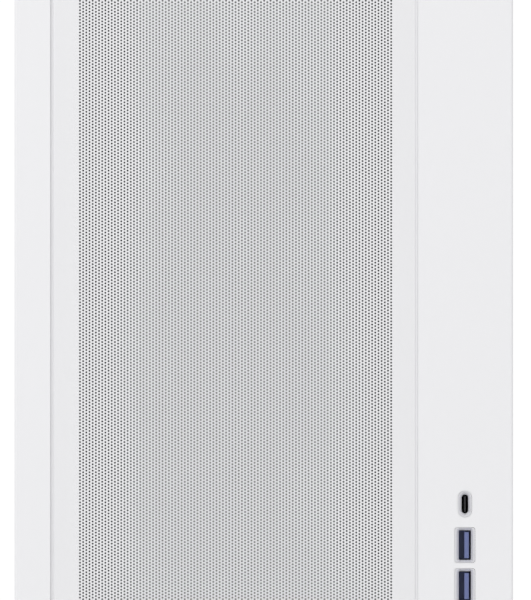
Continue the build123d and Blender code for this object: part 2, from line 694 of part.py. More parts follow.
def rear_ports():
    """Each rear connector: centre height, height along z, depth off the board, and its mouths."""
    usb = [(-4.0, 3.6, 12.0), (4.0, 3.6, 12.0)]
    jacks = [(z, 7.8, 12.0, [(0.0, 0.0, 0.0)]) for z in (231.2, 222.9, 214.6)]
    return [(338.0, 17.0, 8.0, [(0.0, 4.6, 14.0)]),
            (314.0, 15.0, 16.0, usb),
            (292.0, 15.0, 16.0, usb),
            (267.0, 17.0, 17.0, [(0.0, 9.0, 12.0)]),
            (244.0, 15.0, 16.0, usb)] + jacks


def make_rear_ports():
    """Rear connectors with open mouths, and the shield plate that they stand through."""
    front_y, port_end, mouth_depth = 186.0, BACK + 0.6, 14.0
    with BuildPart() as rear_io_ports:
        for z, height, depth, mouths in rear_ports():
            middle_x = BOARD_FACE - depth / 2
            block((BOARD_FACE - depth, front_y, z - height / 2), (BOARD_FACE, port_end, z + height / 2))
            with BuildSketch(facing_back(port_end)):
                for dx, thin, wide in mouths:
                    with Locations((middle_x + dx, z)):
                        if wide:
                            Rectangle(thin, wide)
                        else:
                            Circle(JACK_RADIUS)
            extrude(amount=mouth_depth, mode=Mode.SUBTRACT)
    keep(rear_io_ports.part, "rear_io_ports")
    with BuildPart() as io_shield:
        block((SHIELD_X[0] - 2.0, INNER_BACK - 0.6, SHIELD_Z[0] - 2.0),
              (SHIELD_X[1] + 2.0, INNER_BACK, SHIELD_Z[1] + 2.0))
        for z, height, depth, _ in rear_ports():
            block((BOARD_FACE - depth - 0.3, INNER_BACK - 2.0, z - height / 2 - 0.3),
                  (SHIELD_X[1] + 3.0, INNER_BACK + 1.0, z + height / 2 + 0.3), Mode.SUBTRACT)
    keep(io_shield.part, "io_shield")


def make_board_sockets():
    """Moulded sockets on the board: memory, cards, processor, main power and front header."""
    x1_zs = (CARD_Z - 2 * SLOT_PITCH, CARD_Z - 3 * SLOT_PITCH)
    with BuildPart() as board_sockets:
        for y in MEMORY_YS:
            block((75.0, y - 3.5, 205.0), (BOARD_FACE, y + 3.5, 345.0))
            block((75.0, y - 0.8, 208.0), (78.6, y + 0.8, 342.0), Mode.SUBTRACT)
        block((70.4, 52.0, CARD_Z - 4.0), (BOARD_FACE, 141.0, CARD_Z + 4.0))
        block((70.4, 54.0, CARD_Z - 1.0), (76.5, 139.0, CARD_Z + 1.0), Mode.SUBTRACT)
        for z in x1_zs:
            block((70.4, 112.0, z - 4.0), (BOARD_FACE, 140.0, z + 4.0))
            block((70.4, 114.0, z - 1.0), (76.5, 138.0, z + 1.0), Mode.SUBTRACT)
        block((76.5, SOCKET_Y - 24.0, SOCKET_Z - 24.0), (BOARD_FACE, SOCKET_Y + 24.0, SOCKET_Z + 24.0))
        block((76.5, SOCKET_Y - 19.0, SOCKET_Z - 19.0), (79.0, SOCKET_Y + 19.0, SOCKET_Z + 19.0),
              Mode.SUBTRACT)
        block((68.0, -36.0, 236.0), (BOARD_FACE, -26.0, 290.0))
        block((72.0, -27.0, 121.0), (BOARD_FACE, -21.0, 129.0))
    keep(board_sockets.part, "board_sockets")


def make_processor():
    """Processor package with its metal lid."""
    with BuildPart() as processor:
        block((77.0, SOCKET_Y - 18.7, SOCKET_Z - 18.7), (79.0, SOCKET_Y + 18.7, SOCKET_Z + 18.7))
        block((74.0, SOCKET_Y - 15.0, SOCKET_Z - 15.0), (77.0, SOCKET_Y + 15.0, SOCKET_Z + 15.0))
    keep(processor.part, "processor")


def heat_pipe_path(z):
    """Route of one heat pipe: down through the fins, across the base and back up."""
    near, far = SOCKET_Y - 15.0, SOCKET_Y + 15.0
    return FilletPolyline((-76.0, near, z), (67.5, near, z), (67.5, far, z), (-76.0, far, z), radius=10.0)


def make_cooler():
    """Tower cooler: base with four heat pipes, a stack of thin fins, and its fan."""
    pipe_zs = [SOCKET_Z + dz for dz in (-16.5, -5.5, 5.5, 16.5)]
    with BuildPart() as cooler_base:
        block((61.0, SOCKET_Y - 21.0, SOCKET_Z - 22.0), (74.0, SOCKET_Y + 21.0, SOCKET_Z + 22.0))
        for z in pipe_zs:
            with BuildLine():
                path = heat_pipe_path(z)
            with BuildSketch(Plane(path @ 0, z_dir=path % 0)):
                Circle(3.0)
            sweep(path=path)
    keep(cooler_base.part, "cooler_base")
    fin_y = (SOCKET_Y - 22.0, SOCKET_Y + 22.0)
    with BuildPart() as cooler_fins:
        with BuildSketch(Plane.YZ.offset(-72.0)):
            with Locations((SOCKET_Y, SOCKET_Z)):
                Rectangle(fin_y[1] - fin_y[0], FAN_SIZE)
            with Locations(*[(SOCKET_Y + dy, z) for dy in (-15.0, 15.0) for z in pipe_zs]):
                Circle(3.1, mode=Mode.SUBTRACT)
        extrude(amount=110.0)
        for i in range(22):
            block((-71.4 + 5.0 * i, fin_y[0] - 1.0, SOCKET_Z - 61.0),
                  (-67.0 + 5.0 * i, fin_y[1] + 1.0, SOCKET_Z + 61.0), Mode.SUBTRACT)
    keep(cooler_fins.part, "cooler_fins")
    plane = Plane((COOLER_FAN_X, fin_y[0] - FAN_DEPTH - 1.0, SOCKET_Z), x_dir=(-1, 0, 0), z_dir=(0, 1, 0))
    keep(fan_frame(plane), "cooler_fan_frame")
    keep(fan_rotor(plane), "cooler_fan_rotor")


def make_memory():
    """Memory modules: a thin board with a finned metal jacket each."""
    with BuildPart() as memory_modules:
        for y in MEMORY_YS:
            block((47.0, y - 0.65, 209.0), (78.4, y + 0.65, 341.0))
            block((46.0, y - 3.0, 209.5), (73.6, y + 3.0, 340.5))
            with BuildSketch(facing_back(y - 3.0)):
                with Locations((46.0, 275.0)):
                    with GridLocations(0.0, 16.0, 1, 7):
                        Rectangle(6.0, 6.0)
            extrude(amount=-6.0, mode=Mode.SUBTRACT)
    keep(memory_modules.part, "memory_modules")


def make_board_heatsinks():
    """Ribbed blocks that cool the voltage regulator and the chipset."""
    with BuildPart() as board_heatsinks:
        block((60.0, 152.0, 232.0), (BOARD_FACE, 178.0, 340.0))
        with BuildSketch(Plane.YZ.offset(60.0)):
            with Locations((165.0, 286.0)):
                with GridLocations(0.0, 9.0, 1, 11):
                    Rectangle(28.0, 3.0)
        extrude(amount=12.0, mode=Mode.SUBTRACT)
        block((72.0, -12.0, 128.0), (BOARD_FACE, 34.0, 168.0))
        with BuildSketch(Plane.YZ.offset(72.0)):
            with Locations((11.0, 148.0)):
                with GridLocations(0.0, 8.0, 1, 4):
                    Rectangle(50.0, 3.0)
        extrude(amount=5.0, mode=Mode.SUBTRACT)
    keep(board_heatsinks.part, "board_heatsinks")


# ============================ graphics card ============================

def make_graphics_card():
    """Card lying flat in the top slot: board, finned block, shroud, two rotors and bracket."""
    with BuildPart() as graphics_board:
        block((-38.0, -30.0, CARD_Z - 0.8), (69.8, 200.0, CARD_Z + 0.8))
        block((69.8, 55.0, CARD_Z - 0.8), (76.0, 138.0, CARD_Z + 0.8))
    keep(graphics_board.part, "graphics_board")
    base_z = CARD_Z - 4.8
    fin_tip = CARD_Z - 28.0
    with BuildPart() as graphics_heatsink:
        with BuildSketch(Plane.YZ.offset(-35.0)):
            with Locations((78.5, (base_z + CARD_Z - 1.0) / 2)):
                Rectangle(211.0, CARD_Z - 1.0 - base_z)
            with Locations((78.5, (base_z + fin_tip) / 2)):
                with GridLocations(6.0, 0.0, 35, 1):
                    Rectangle(1.0, base_z - fin_tip + 0.2)
        extrude(amount=98.0)
        with BuildSketch(Plane.XY.offset(152.3)):
            with Locations(*[(CARD_FAN_X, y) for y in CARD_FAN_YS]):
                Circle(16.0)
        extrude(amount=base_z - 152.3)
        with BuildSketch(Plane.XY.offset(152.3)):
            with Locations(*[(CARD_FAN_X, y) for y in CARD_FAN_YS]):
                Circle(SHAFT_RADIUS + SHAFT_CLEARANCE)
        extrude(amount=10.0, mode=Mode.SUBTRACT)
    keep(graphics_heatsink.part, "graphics_heatsink")
    with BuildPart() as graphics_shroud:
        block((-40.0, -32.0, 141.0), (66.0, 188.0, CARD_Z - 1.2))
        fillet(graphics_shroud.edges().filter_by(Axis.Z), 5.0)
        block((-37.5, -29.5, 143.0), (64.5, 186.5, CARD_Z - 1.2), Mode.SUBTRACT)
        with BuildSketch(Plane.XY.offset(141.0)):
            with Locations(*[(CARD_FAN_X, y) for y in CARD_FAN_YS]):
                Circle(44.0)
        extrude(amount=2.0, mode=Mode.SUBTRACT)
    keep(graphics_shroud.part, "graphics_shroud")
    for name, y in zip(("graphics_fan_front", "graphics_fan_rear"), CARD_FAN_YS):
        plane = Plane((CARD_FAN_X, y, 142.0), x_dir=(1, 0, 0), z_dir=(0, 0, 1))
        keep(fan_rotor(plane, tip=42.0, hub=16.0, low=1.5, high=9.8, blades=9, shaft=6.0), name)
    make_brackets()


def make_brackets():
    """The card's two-slot bracket with its port shells, and the covers of the empty slots."""
    port_xs = (-12.0, 12.0, 36.0)
    port_z = CARD_Z - 4.6
    with BuildPart() as graphics_bracket:
        block((-36.0, INNER_BACK - SHEET, 146.8), (80.0, INNER_BACK, 185.2))
        with BuildSketch(facing_back(INNER_BACK - SHEET)):
            with Locations(*[(x, port_z) for x in port_xs]):
                Rectangle(17.2, 7.0)
            with Locations((28.0, SLOT_Z - SLOT_PITCH)):
                with GridLocations(8.0, 0.0, 11, 1):
                    SlotOverall(9.0, 4.0, rotation=90)
            with Locations(*rear_screw_spots()[4:6]):
                Circle(2.0)
        extrude(amount=-SHEET, mode=Mode.SUBTRACT)
        for x in port_xs:
            block((x - 8.4, 190.0, port_z - 3.3), (x + 8.4, BACK + 0.4, port_z + 3.3))
            block((x - 7.4, 196.0, port_z - 2.4), (x + 7.4, BACK + 0.4, port_z + 2.4), Mode.SUBTRACT)
    keep(graphics_bracket.part, "graphics_bracket")
    with BuildPart() as slot_covers:
        for i in (2, 3):
            z = SLOT_Z - i * SLOT_PITCH
            block((-36.0, INNER_BACK - SHEET, z - 9.2), (80.0, INNER_BACK, z + 9.2))
        with BuildSketch(facing_back(INNER_BACK - SHEET)):
            with Locations(*[(28.0, SLOT_Z - i * SLOT_PITCH) for i in (2, 3)]):
                with GridLocations(8.0, 0.0, 11, 1):
                    SlotOverall(9.0, 4.0, rotation=90)
            with Locations(*rear_screw_spots()[6:8]):
                Circle(2.0)
        extrude(amount=-SHEET, mode=Mode.SUBTRACT)
    keep(slot_covers.part, "slot_covers")


# ============================ storage, front ports, cables ============================

def make_drive():
    """Flat solid-state drive fixed to the back of the tray."""
    with BuildPart() as solid_state_drive:
        block((TRAY_X + SHEET, 80.0, 130.0), (TRAY_X + SHEET + 7.0, 180.0, 200.0))
        fillet(solid_state_drive.edges().filter_by(Axis.X), 3.0)
    keep(solid_state_drive.part, "solid_state_drive")


def make_front_io_board():
    """Small upright board behind the port column, with a tactile switch for each button."""
    board_x = (87.6, 89.2)
    with BuildPart() as front_io_board:
        block((board_x[0], -201.0, 33.0), (board_x[1], -184.0, 128.0))
        for z in (POWER_Z, RESET_Z):
            block((81.0, -196.5, z - 3.0), (board_x[0], -190.0, z + 3.0))
    keep(front_io_board.part, "front_io_board")


def make_usb_shells():
    """Metal shells with flared mouths, flush with the moulded front."""
    face = FRONT + 0.1
    with BuildPart() as usb_shells:
        with BuildSketch(facing_back(face)):
            port_outline(0.0)
        extrude(amount=-1.6)
        with BuildSketch(facing_back(face + 1.6)):
            with Locations((PORT_X, USB_C_Z)):
                SlotOverall(USB_C_BORE[1] + 0.8, USB_C_BORE[0] + 0.8, rotation=90)
            for z in USB_A_ZS:
                with Locations((PORT_X, z)):
                    RectangleRounded(USB_A_BORE[0] + 0.7, USB_A_BORE[1] + 0.7, 0.6)
        extrude(amount=-13.0)
        with BuildSketch(facing_back(face)):
            with Locations((PORT_X, USB_C_Z)):
                SlotOverall(USB_C_BORE[1], USB_C_BORE[0], rotation=90)
            for z in USB_A_ZS:
                with Locations((PORT_X, z)):
                    RectangleRounded(USB_A_BORE[0], USB_A_BORE[1], 0.4)
        extrude(amount=-14.6, mode=Mode.SUBTRACT)
        mouths = usb_shells.faces().sort_by(Axis.Y)[:3]
        for mouth in mouths:
            chamfer(mouth.inner_wires()[0].edges(), 1.0)
    keep(usb_shells.part, "usb_shells")


def make_usb_inserts():
    """Insulators inside the shells: a contact tongue in front of a back wall."""
    back, wall = FRONT + 14.7, 3.0
    with BuildPart() as usb_a_inserts:
        for z in USB_A_ZS:
            block((PORT_X - 2.4, back - wall, z - 6.0), (PORT_X + 2.4, back, z + 6.0))
            block((PORT_X - 0.2, FRONT + 1.2, z - 5.5), (PORT_X + 1.64, back, z + 5.5))
    keep(usb_a_inserts.part, "usb_a_inserts")
    with BuildPart() as usb_c_insert:
        block((PORT_X - 1.3, back - wall, USB_C_Z - 2.6), (PORT_X + 1.3, back, USB_C_Z + 2.6))
        block((PORT_X - 0.35, FRONT + 1.6, USB_C_Z - 3.3), (PORT_X + 0.35, back, USB_C_Z + 3.3))
    keep(usb_c_insert.part, "usb_c_insert")


def make_audio_jack():
    """Headset jack: a barrel through the front and a moulded body behind it."""
    face = FRONT + 0.1
    with BuildPart() as audio_jack:
        with BuildSketch(facing_back(face)):
            with Locations((PORT_X, JACK_Z)):
                Circle(3.5)
        extrude(amount=-4.0)
        block((PORT_X - 3.6, face + 3.4, JACK_Z - 4.0), (87.6, face + 15.0, JACK_Z + 4.0))
        with BuildSketch(facing_back(face)):
            with Locations((PORT_X, JACK_Z)):
                Circle(JACK_RADIUS)
        extrude(amount=-JACK_DEPTH, mode=Mode.SUBTRACT)
    keep(audio_jack.part, "audio_jack")


def make_buttons():
    """Power button in its light ring, and the small reset button."""
    face = FRONT + 0.1
    with BuildPart() as power_button:
        with BuildSketch(facing_back(face)):
            with Locations((PORT_X, POWER_Z)):
                Circle(BUTTON_RADIUS - 0.3)
        extrude(amount=-6.0)
        fillet(power_button.edges().sort_by(Axis.Y)[0], 0.6)
        with BuildSketch(facing_back(face + 6.0)):
            with Locations((PORT_X, POWER_Z)):
                Circle(2.0)
        extrude(amount=-5.0)
    keep(power_button.part, "power_button")
    with BuildPart() as reset_button:
        with BuildSketch(facing_back(face)):
            with Locations((PORT_X, RESET_Z)):
                Circle(RESET_RADIUS)
        extrude(amount=-6.0)
        with BuildSketch(facing_back(face + 6.0)):
            with Locations((PORT_X, RESET_Z)):
                Circle(1.4)
        extrude(amount=-5.5)
    keep(reset_button.part, "reset_button")
    with BuildPart() as power_light_ring:
        with BuildSketch(facing_back(face)):
            with Locations((PORT_X, POWER_Z)):
                Circle(BUTTON_RADIUS + 1.5)
                Circle(BUTTON_RADIUS, mode=Mode.SUBTRACT)
        extrude(amount=-3.0)
    keep(power_light_ring.part, "power_light_ring")


def make_internal_cables():
    """Board power lead behind the tray, and the front ports' lead, each with its plug."""
    power_radius, lead_radius = 4.0, 2.25
    supply_face = INNER_BACK - PSU_SIZE[1]
    with BuildPart() as internal_cables:
        with BuildLine():
            power = FilletPolyline((60.0, supply_face, 60.0), (60.0, 20.0, 60.0), (96.0, 20.0, 60.0),
                                   (96.0, -60.0, 60.0), (96.0, -60.0, 263.0), (44.0, -60.0, 263.0),
                                   (44.0, -31.0, 263.0), (56.0, -31.0, 263.0), radius=5.5)
        with BuildSketch(Plane(power @ 0, z_dir=power % 0)):
            Circle(power_radius)
        sweep(path=power)
        block((56.0, -35.6, 237.0), (68.0, -26.4, 289.0))
        with BuildLine():
            lead = FilletPolyline((91.5, -184.0, 90.0), (91.5, -62.0, 90.0), (91.5, -62.0, 125.0),
                                  (58.0, -62.0, 125.0), (58.0, -24.0, 125.0), (66.0, -24.0, 125.0),
                                  radius=3.9)
        with BuildSketch(Plane(lead @ 0, z_dir=lead % 0)):
            Circle(lead_radius)
        sweep(path=lead)
        block((66.0, -26.8, 121.4), (72.0, -21.2, 128.6))
        block((89.2, -194.0, 84.0), (94.0, -184.0, 96.0))
    keep(internal_cables.part, "internal_cables")


os.makedirs("parts", exist_ok=True)
make_front_frame()
make_front_mesh_panel()
make_front_filter()
make_side_panel("left_side_panel", -1)
make_side_panel("right_side_panel", 1)
make_top_cover()
make_base_filter()
make_feet()
make_base_pan()
make_rear_panel()
make_motherboard_tray()
make_psu_shroud()
make_front_chassis_plate()
make_top_chassis_plate()
make_panel_clips()
make_case_fans()
make_fan_screws()
make_psu_housing()
make_psu_fan()
make_psu_circuit()
make_psu_inlet()
make_rear_screws()
make_motherboard()
make_rear_ports()
make_board_sockets()
make_processor()
make_cooler()
make_memory()
make_board_heatsinks()
make_graphics_card()
make_drive()
make_front_io_board()
make_usb_shells()
make_usb_inserts()
make_audio_jack()
make_buttons()
make_internal_cables()
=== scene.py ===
"""Looks of a desktop computer tower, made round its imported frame.

Units are metres, +Z is up and the front faces -Y. Sheets that are perforated on the real tower are
plain in the frame, so each one is replaced here by a sheet with its holes in it.
"""

import json
import math

import bmesh
import bpy
import numpy as np
from mathutils import Matrix, Vector


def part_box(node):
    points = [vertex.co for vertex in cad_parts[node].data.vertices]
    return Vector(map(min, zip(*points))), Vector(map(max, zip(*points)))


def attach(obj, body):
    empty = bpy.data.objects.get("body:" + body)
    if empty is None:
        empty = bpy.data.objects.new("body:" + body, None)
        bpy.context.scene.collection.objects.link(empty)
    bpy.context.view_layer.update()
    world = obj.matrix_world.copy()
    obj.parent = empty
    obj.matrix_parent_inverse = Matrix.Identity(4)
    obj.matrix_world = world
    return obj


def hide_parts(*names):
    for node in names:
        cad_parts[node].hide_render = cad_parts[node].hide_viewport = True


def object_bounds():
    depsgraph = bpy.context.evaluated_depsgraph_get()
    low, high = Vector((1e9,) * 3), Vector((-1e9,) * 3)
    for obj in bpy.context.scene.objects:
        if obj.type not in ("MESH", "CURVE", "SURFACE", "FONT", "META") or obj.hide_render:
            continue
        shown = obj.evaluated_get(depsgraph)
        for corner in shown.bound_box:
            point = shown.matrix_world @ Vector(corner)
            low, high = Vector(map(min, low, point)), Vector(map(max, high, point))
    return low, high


bl_info = {
    "name": "Desktop Tower Looks",
    "version": (1, 0, 0),
    "blender": (4, 5, 0),
    "location": "3D View > Sidebar > Tower",
    "description": "Perforated panels, finishes and studio for a desktop computer tower",
    "category": "Object",
}

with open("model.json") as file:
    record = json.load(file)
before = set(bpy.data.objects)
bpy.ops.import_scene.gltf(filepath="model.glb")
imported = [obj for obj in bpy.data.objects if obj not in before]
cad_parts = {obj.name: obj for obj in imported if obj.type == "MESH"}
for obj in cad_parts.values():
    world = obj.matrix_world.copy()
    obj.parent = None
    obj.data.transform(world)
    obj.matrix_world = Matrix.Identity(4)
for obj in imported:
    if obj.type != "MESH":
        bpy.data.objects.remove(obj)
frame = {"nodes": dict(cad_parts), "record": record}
CAD_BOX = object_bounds()
NODES = frame["nodes"]
MM = 0.001
SHEET = 1.0 * MM

# Which way each perforated sheet faces: its own across, up and outward directions.
FACING_FRONT = ((1, 0, 0), (0, 0, 1), (0, -1, 0))
FACING_LEFT = ((0, -1, 0), (0, 0, 1), (-1, 0, 0))
FACING_RIGHT = ((0, 1, 0), (0, 0, 1), (1, 0, 0))
FACING_UP = ((1, 0, 0), (0, 1, 0), (0, 0, 1))


# ============================ properties ============================

def length(name, description, default):
    """A length property in metres."""
    return bpy.props.FloatProperty(name=name, description=description, default=default, min=0.0,
                                   precision=5, unit="LENGTH")


def colour(name, description, default):
    """A colour property."""
    return bpy.props.FloatVectorProperty(name=name, description=description, default=default,
                                         size=3, min=0.0, max=1.0, subtype="COLOR")


class TowerVents(bpy.types.PropertyGroup):
    """Hole patterns of the perforated sheets."""

    front_pitch: length("Front pitch", "Distance between the insert's holes", 1.337 * MM)
    front_hole: length("Front hole", "Width of the insert's holes", 0.905 * MM)
    front_columns: bpy.props.IntProperty(name="Front columns", description="Columns of holes in the insert",
                                         default=99, min=3)
    front_rows: bpy.props.IntProperty(name="Front rows", description="Rows of holes in the insert",
                                      default=250, min=3)
    side_pitch: length("Side pitch", "Distance between the side panels' holes", 4.4 * MM)
    side_hole: length("Side hole", "Width of the side panels' holes", 2.9 * MM)
    top_pitch: length("Top pitch", "Distance between the top cover's holes", 3.6 * MM)
    top_hole: length("Top hole", "Width of the top cover's holes", 2.4 * MM)


class TowerColours(bpy.types.PropertyGroup):
    """Base colours of the finishes."""

    shell: colour("Shell", "Moulded white plastic", (0.86, 0.86, 0.876))
    steel: colour("Painted steel", "White powder coat", (0.83, 0.83, 0.845))
    netting: colour("Netting", "Dust filter cloth", (0.36, 0.36, 0.37))
    dark: colour("Dark plastic", "Black mouldings", (0.018, 0.018, 0.02))
    blade: colour("Blades", "Fan rotors", (0.06, 0.062, 0.067))
    nickel: colour("Nickel", "Shells of the front ports", (0.8, 0.8, 0.83))
    steel_plate: colour("Plated steel", "Rear connectors, screws and brackets", (0.42, 0.43, 0.45))
    tongue: colour("Tongue", "Blue port insulators", (0.13, 0.16, 0.34))
    mask: colour("Solder mask", "Circuit boards", (0.008, 0.018, 0.014))
    copper: colour("Copper", "Heat pipes", (0.72, 0.38, 0.24))


class TowerStudio(bpy.types.PropertyGroup):
    """Camera and light."""

    distance: length("Camera distance", "Camera to the front face", 6.0)
    picture_height: length("Picture height", "Height that the picture covers", 252.6 * MM)
    aim_x: length("Aim across", "Middle of the picture across the case", 0.7 * MM)
    aim_z: length("Aim height", "Middle of the picture above the floor", 205.0 * MM)
    sky: bpy.props.FloatProperty(name="Sky", description="Strength of the soft light all round",
                                 default=1.09, min=0.0)
    key: bpy.props.FloatProperty(name="Key", description="Power of the large soft light in watts",
                                 default=14.0, min=0.0)


def settings():
    """The scene's three groups of properties."""
    scene = bpy.context.scene
    return scene.tower_vents, scene.tower_colours, scene.tower_studio


# ============================ node helpers ============================

def place(tree, kind, **values):
    """Adds a node and sets the properties and input sockets that are named."""
    node = tree.nodes.new(kind)
    for name, value in values.items():
        if name in node.inputs:
            node.inputs[name].default_value = value
        else:
            setattr(node, name, value)
    return node


def join(tree, *pairs):
    """Links each pair of sockets."""
    for source, target in pairs:
        tree.links.new(source, target)


def shader_group(name, inputs, outputs):
    """A new shader node group, the sockets of its inputs and the sockets of its outputs."""
    tree = bpy.data.node_groups.new(name, "ShaderNodeTree")
    kinds = {"value": "NodeSocketFloat", "colour": "NodeSocketColor", "vector": "NodeSocketVector"}
    for socket, kind, default in inputs:
        made = tree.interface.new_socket(name=socket, in_out="INPUT", socket_type=kinds[kind])
        if default is not None:
            made.default_value = default
    for socket, kind in outputs:
        tree.interface.new_socket(name=socket, in_out="OUTPUT", socket_type=kinds[kind])
    return tree, tree.nodes.new("NodeGroupInput").outputs, tree.nodes.new("NodeGroupOutput").inputs


def surface_drift():
    """Group: a slow change of tone and roughness over a surface, as paint and mouldings have."""
    name = "Surface Drift"
    if name in bpy.data.node_groups:
        return bpy.data.node_groups[name]
    tree, given, result = shader_group(
        name,
        [("Vector", "vector", None), ("Colour", "colour", (0.8, 0.8, 0.8, 1.0)), ("Tone", "value", 0.02),
         ("Roughness", "value", 0.5), ("Spread", "value", 0.06), ("Scale", "value", 9.0)],
        [("Colour", "colour"), ("Roughness", "value")])
    noise = place(tree, "ShaderNodeTexNoise", Detail=4.0, Roughness=0.6)
    centred = place(tree, "ShaderNodeMath", operation="SUBTRACT")
    centred.inputs[1].default_value = 0.5
    tone = place(tree, "ShaderNodeMath", operation="MULTIPLY_ADD")
    tone.inputs[2].default_value = 1.0
    shade = place(tree, "ShaderNodeVectorMath", operation="SCALE")
    rough = place(tree, "ShaderNodeMath", operation="MULTIPLY_ADD", use_clamp=True)
    join(tree, (given["Vector"], noise.inputs["Vector"]),
         (given["Scale"], noise.inputs["Scale"]),
         (noise.outputs["Fac"], centred.inputs[0]),
         (centred.outputs[0], tone.inputs[0]), (given["Tone"], tone.inputs[1]),
         (given["Colour"], shade.inputs[0]), (tone.outputs[0], shade.inputs["Scale"]),
         (shade.outputs[0], result["Colour"]),
         (centred.outputs[0], rough.inputs[0]), (given["Spread"], rough.inputs[1]),
         (given["Roughness"], rough.inputs[2]),
         (rough.outputs[0], result["Roughness"]))
    return tree


def fine_grain():
    """Group: the height of a fine grain, from a moulding's spark texture to a powder coat's peel."""
    name = "Fine Grain"
    if name in bpy.data.node_groups:
        return bpy.data.node_groups[name]
    tree, given, result = shader_group(
        name, [("Vector", "vector", None), ("Scale", "value", 1800.0), ("Peel", "value", 0.3)],
        [("Height", "value")])
    grain = place(tree, "ShaderNodeTexNoise", Detail=3.0, Roughness=0.65)
    coarse = place(tree, "ShaderNodeMath", operation="MULTIPLY")
    coarse.inputs[1].default_value = 0.35
    peel = place(tree, "ShaderNodeTexVoronoi", feature="SMOOTH_F1")
    blend = place(tree, "ShaderNodeMix", data_type="FLOAT")
    join(tree, (given["Vector"], grain.inputs["Vector"]),
         (given["Vector"], peel.inputs["Vector"]),
         (given["Scale"], grain.inputs["Scale"]),
         (given["Scale"], coarse.inputs[0]), (coarse.outputs[0], peel.inputs["Scale"]),
         (given["Peel"], blend.inputs["Factor"]),
         (grain.outputs["Fac"], blend.inputs["A"]), (peel.outputs["Distance"], blend.inputs["B"]),
         (blend.outputs["Result"], result["Height"]))
    return tree


def group_node(tree, group, **values):
    """A node that uses a group, with its input values."""
    node = tree.nodes.new("ShaderNodeGroup")
    node.node_tree = group
    for name, value in values.items():
        node.inputs[name].default_value = value
    return node


def new_material(name):
    """A new material, with its node tree and its surface shader."""
    material = bpy.data.materials.new(name)
    material.use_nodes = True
    return material, material.node_tree, material.node_tree.nodes["Principled BSDF"]


def finish_material(name, base, roughness, metallic=0.0, tone=0.02, spread=0.06, drift_scale=9.0,
                    grain_scale=1800.0, peel=0.3, bump=0.1, bump_depth=0.00004, stretch=None, **sockets):
    """A finish on object coordinates: drifting tone and roughness under a fine grain."""
    if name in bpy.data.materials:
        return bpy.data.materials[name]
    material, tree, surface = new_material(name)
    surface.inputs["Metallic"].default_value = metallic
    for socket, value in sockets.items():
        surface.inputs[socket.replace("_", " ")].default_value = value
    where = place(tree, "ShaderNodeTexCoord")
    spot = where.outputs["Object"]
    if stretch:
        mapping = place(tree, "ShaderNodeMapping", Scale=stretch)
        join(tree, (spot, mapping.inputs["Vector"]))
        spot = mapping.outputs["Vector"]
    drift = group_node(tree, surface_drift(), Colour=(*base, 1.0), Tone=tone, Roughness=roughness,
                       Spread=spread, Scale=drift_scale)
    grain = group_node(tree, fine_grain(), Scale=grain_scale, Peel=peel)
    relief = place(tree, "ShaderNodeBump", Strength=bump, Distance=bump_depth)
    join(tree, (spot, drift.inputs["Vector"]), (spot, grain.inputs["Vector"]),
         (drift.outputs["Colour"], surface.inputs["Base Color"]),
         (drift.outputs["Roughness"], surface.inputs["Roughness"]),
         (grain.outputs["Height"], relief.inputs["Height"]),
         (relief.outputs["Normal"], surface.inputs["Normal"]))
    return material


# ============================ materials ============================

def shell_plastic():
    """Matte white moulding with a fine spark texture."""
    _, colours, _ = settings()
    return finish_material("shell_plastic", colours.shell, 0.46, tone=0.012, grain_scale=2600.0,
                           peel=0.15, bump=0.16)


def painted_steel():
    """White powder coat: slightly wavy, satin."""
    _, colours, _ = settings()
    return finish_material("painted_steel", colours.steel, 0.4, tone=0.012, spread=0.08,
                           grain_scale=900.0, peel=0.7, bump=0.12)


def dark_plastic(name="dark_plastic", base=None, roughness=0.5):
    """Black or grey moulding."""
    _, colours, _ = settings()
    return finish_material(name, base or colours.dark, roughness, tone=0.25, spread=0.12,
                           drift_scale=30.0, grain_scale=2400.0, bump=0.15)


def plated_metal(name, base, roughness):
    """Plated or bright metal with faint rolling lines."""
    return finish_material(name, base, roughness, metallic=1.0, tone=0.08, spread=0.15,
                           drift_scale=60.0, grain_scale=700.0, peel=0.0, bump=0.05,
                           stretch=(1.0, 1.0, 8.0))


def brass():
    """Contacts and pins."""
    return plated_metal("brass", (0.78, 0.58, 0.26), 0.28)


def blue_moulding():
    """Insulators inside the ports."""
    _, colours, _ = settings()
    return finish_material("blue_moulding", colours.tongue, 0.42, tone=0.15, drift_scale=200.0,
                           bump=0.1)


def brushed_aluminium():
    """Fins and ribbed blocks."""
    return finish_material("brushed_aluminium", (0.74, 0.75, 0.77), 0.34, metallic=1.0, tone=0.08,
                           spread=0.14, drift_scale=50.0, grain_scale=900.0, peel=0.0, bump=0.08,
                           stretch=(8.0, 1.0, 1.0))


def rubber():
    """Matte rubber of the foot pads."""
    return finish_material("foot_rubber", (0.03, 0.03, 0.032), 0.75, tone=0.3, drift_scale=40.0,
                           grain_scale=1500.0, bump=0.3)


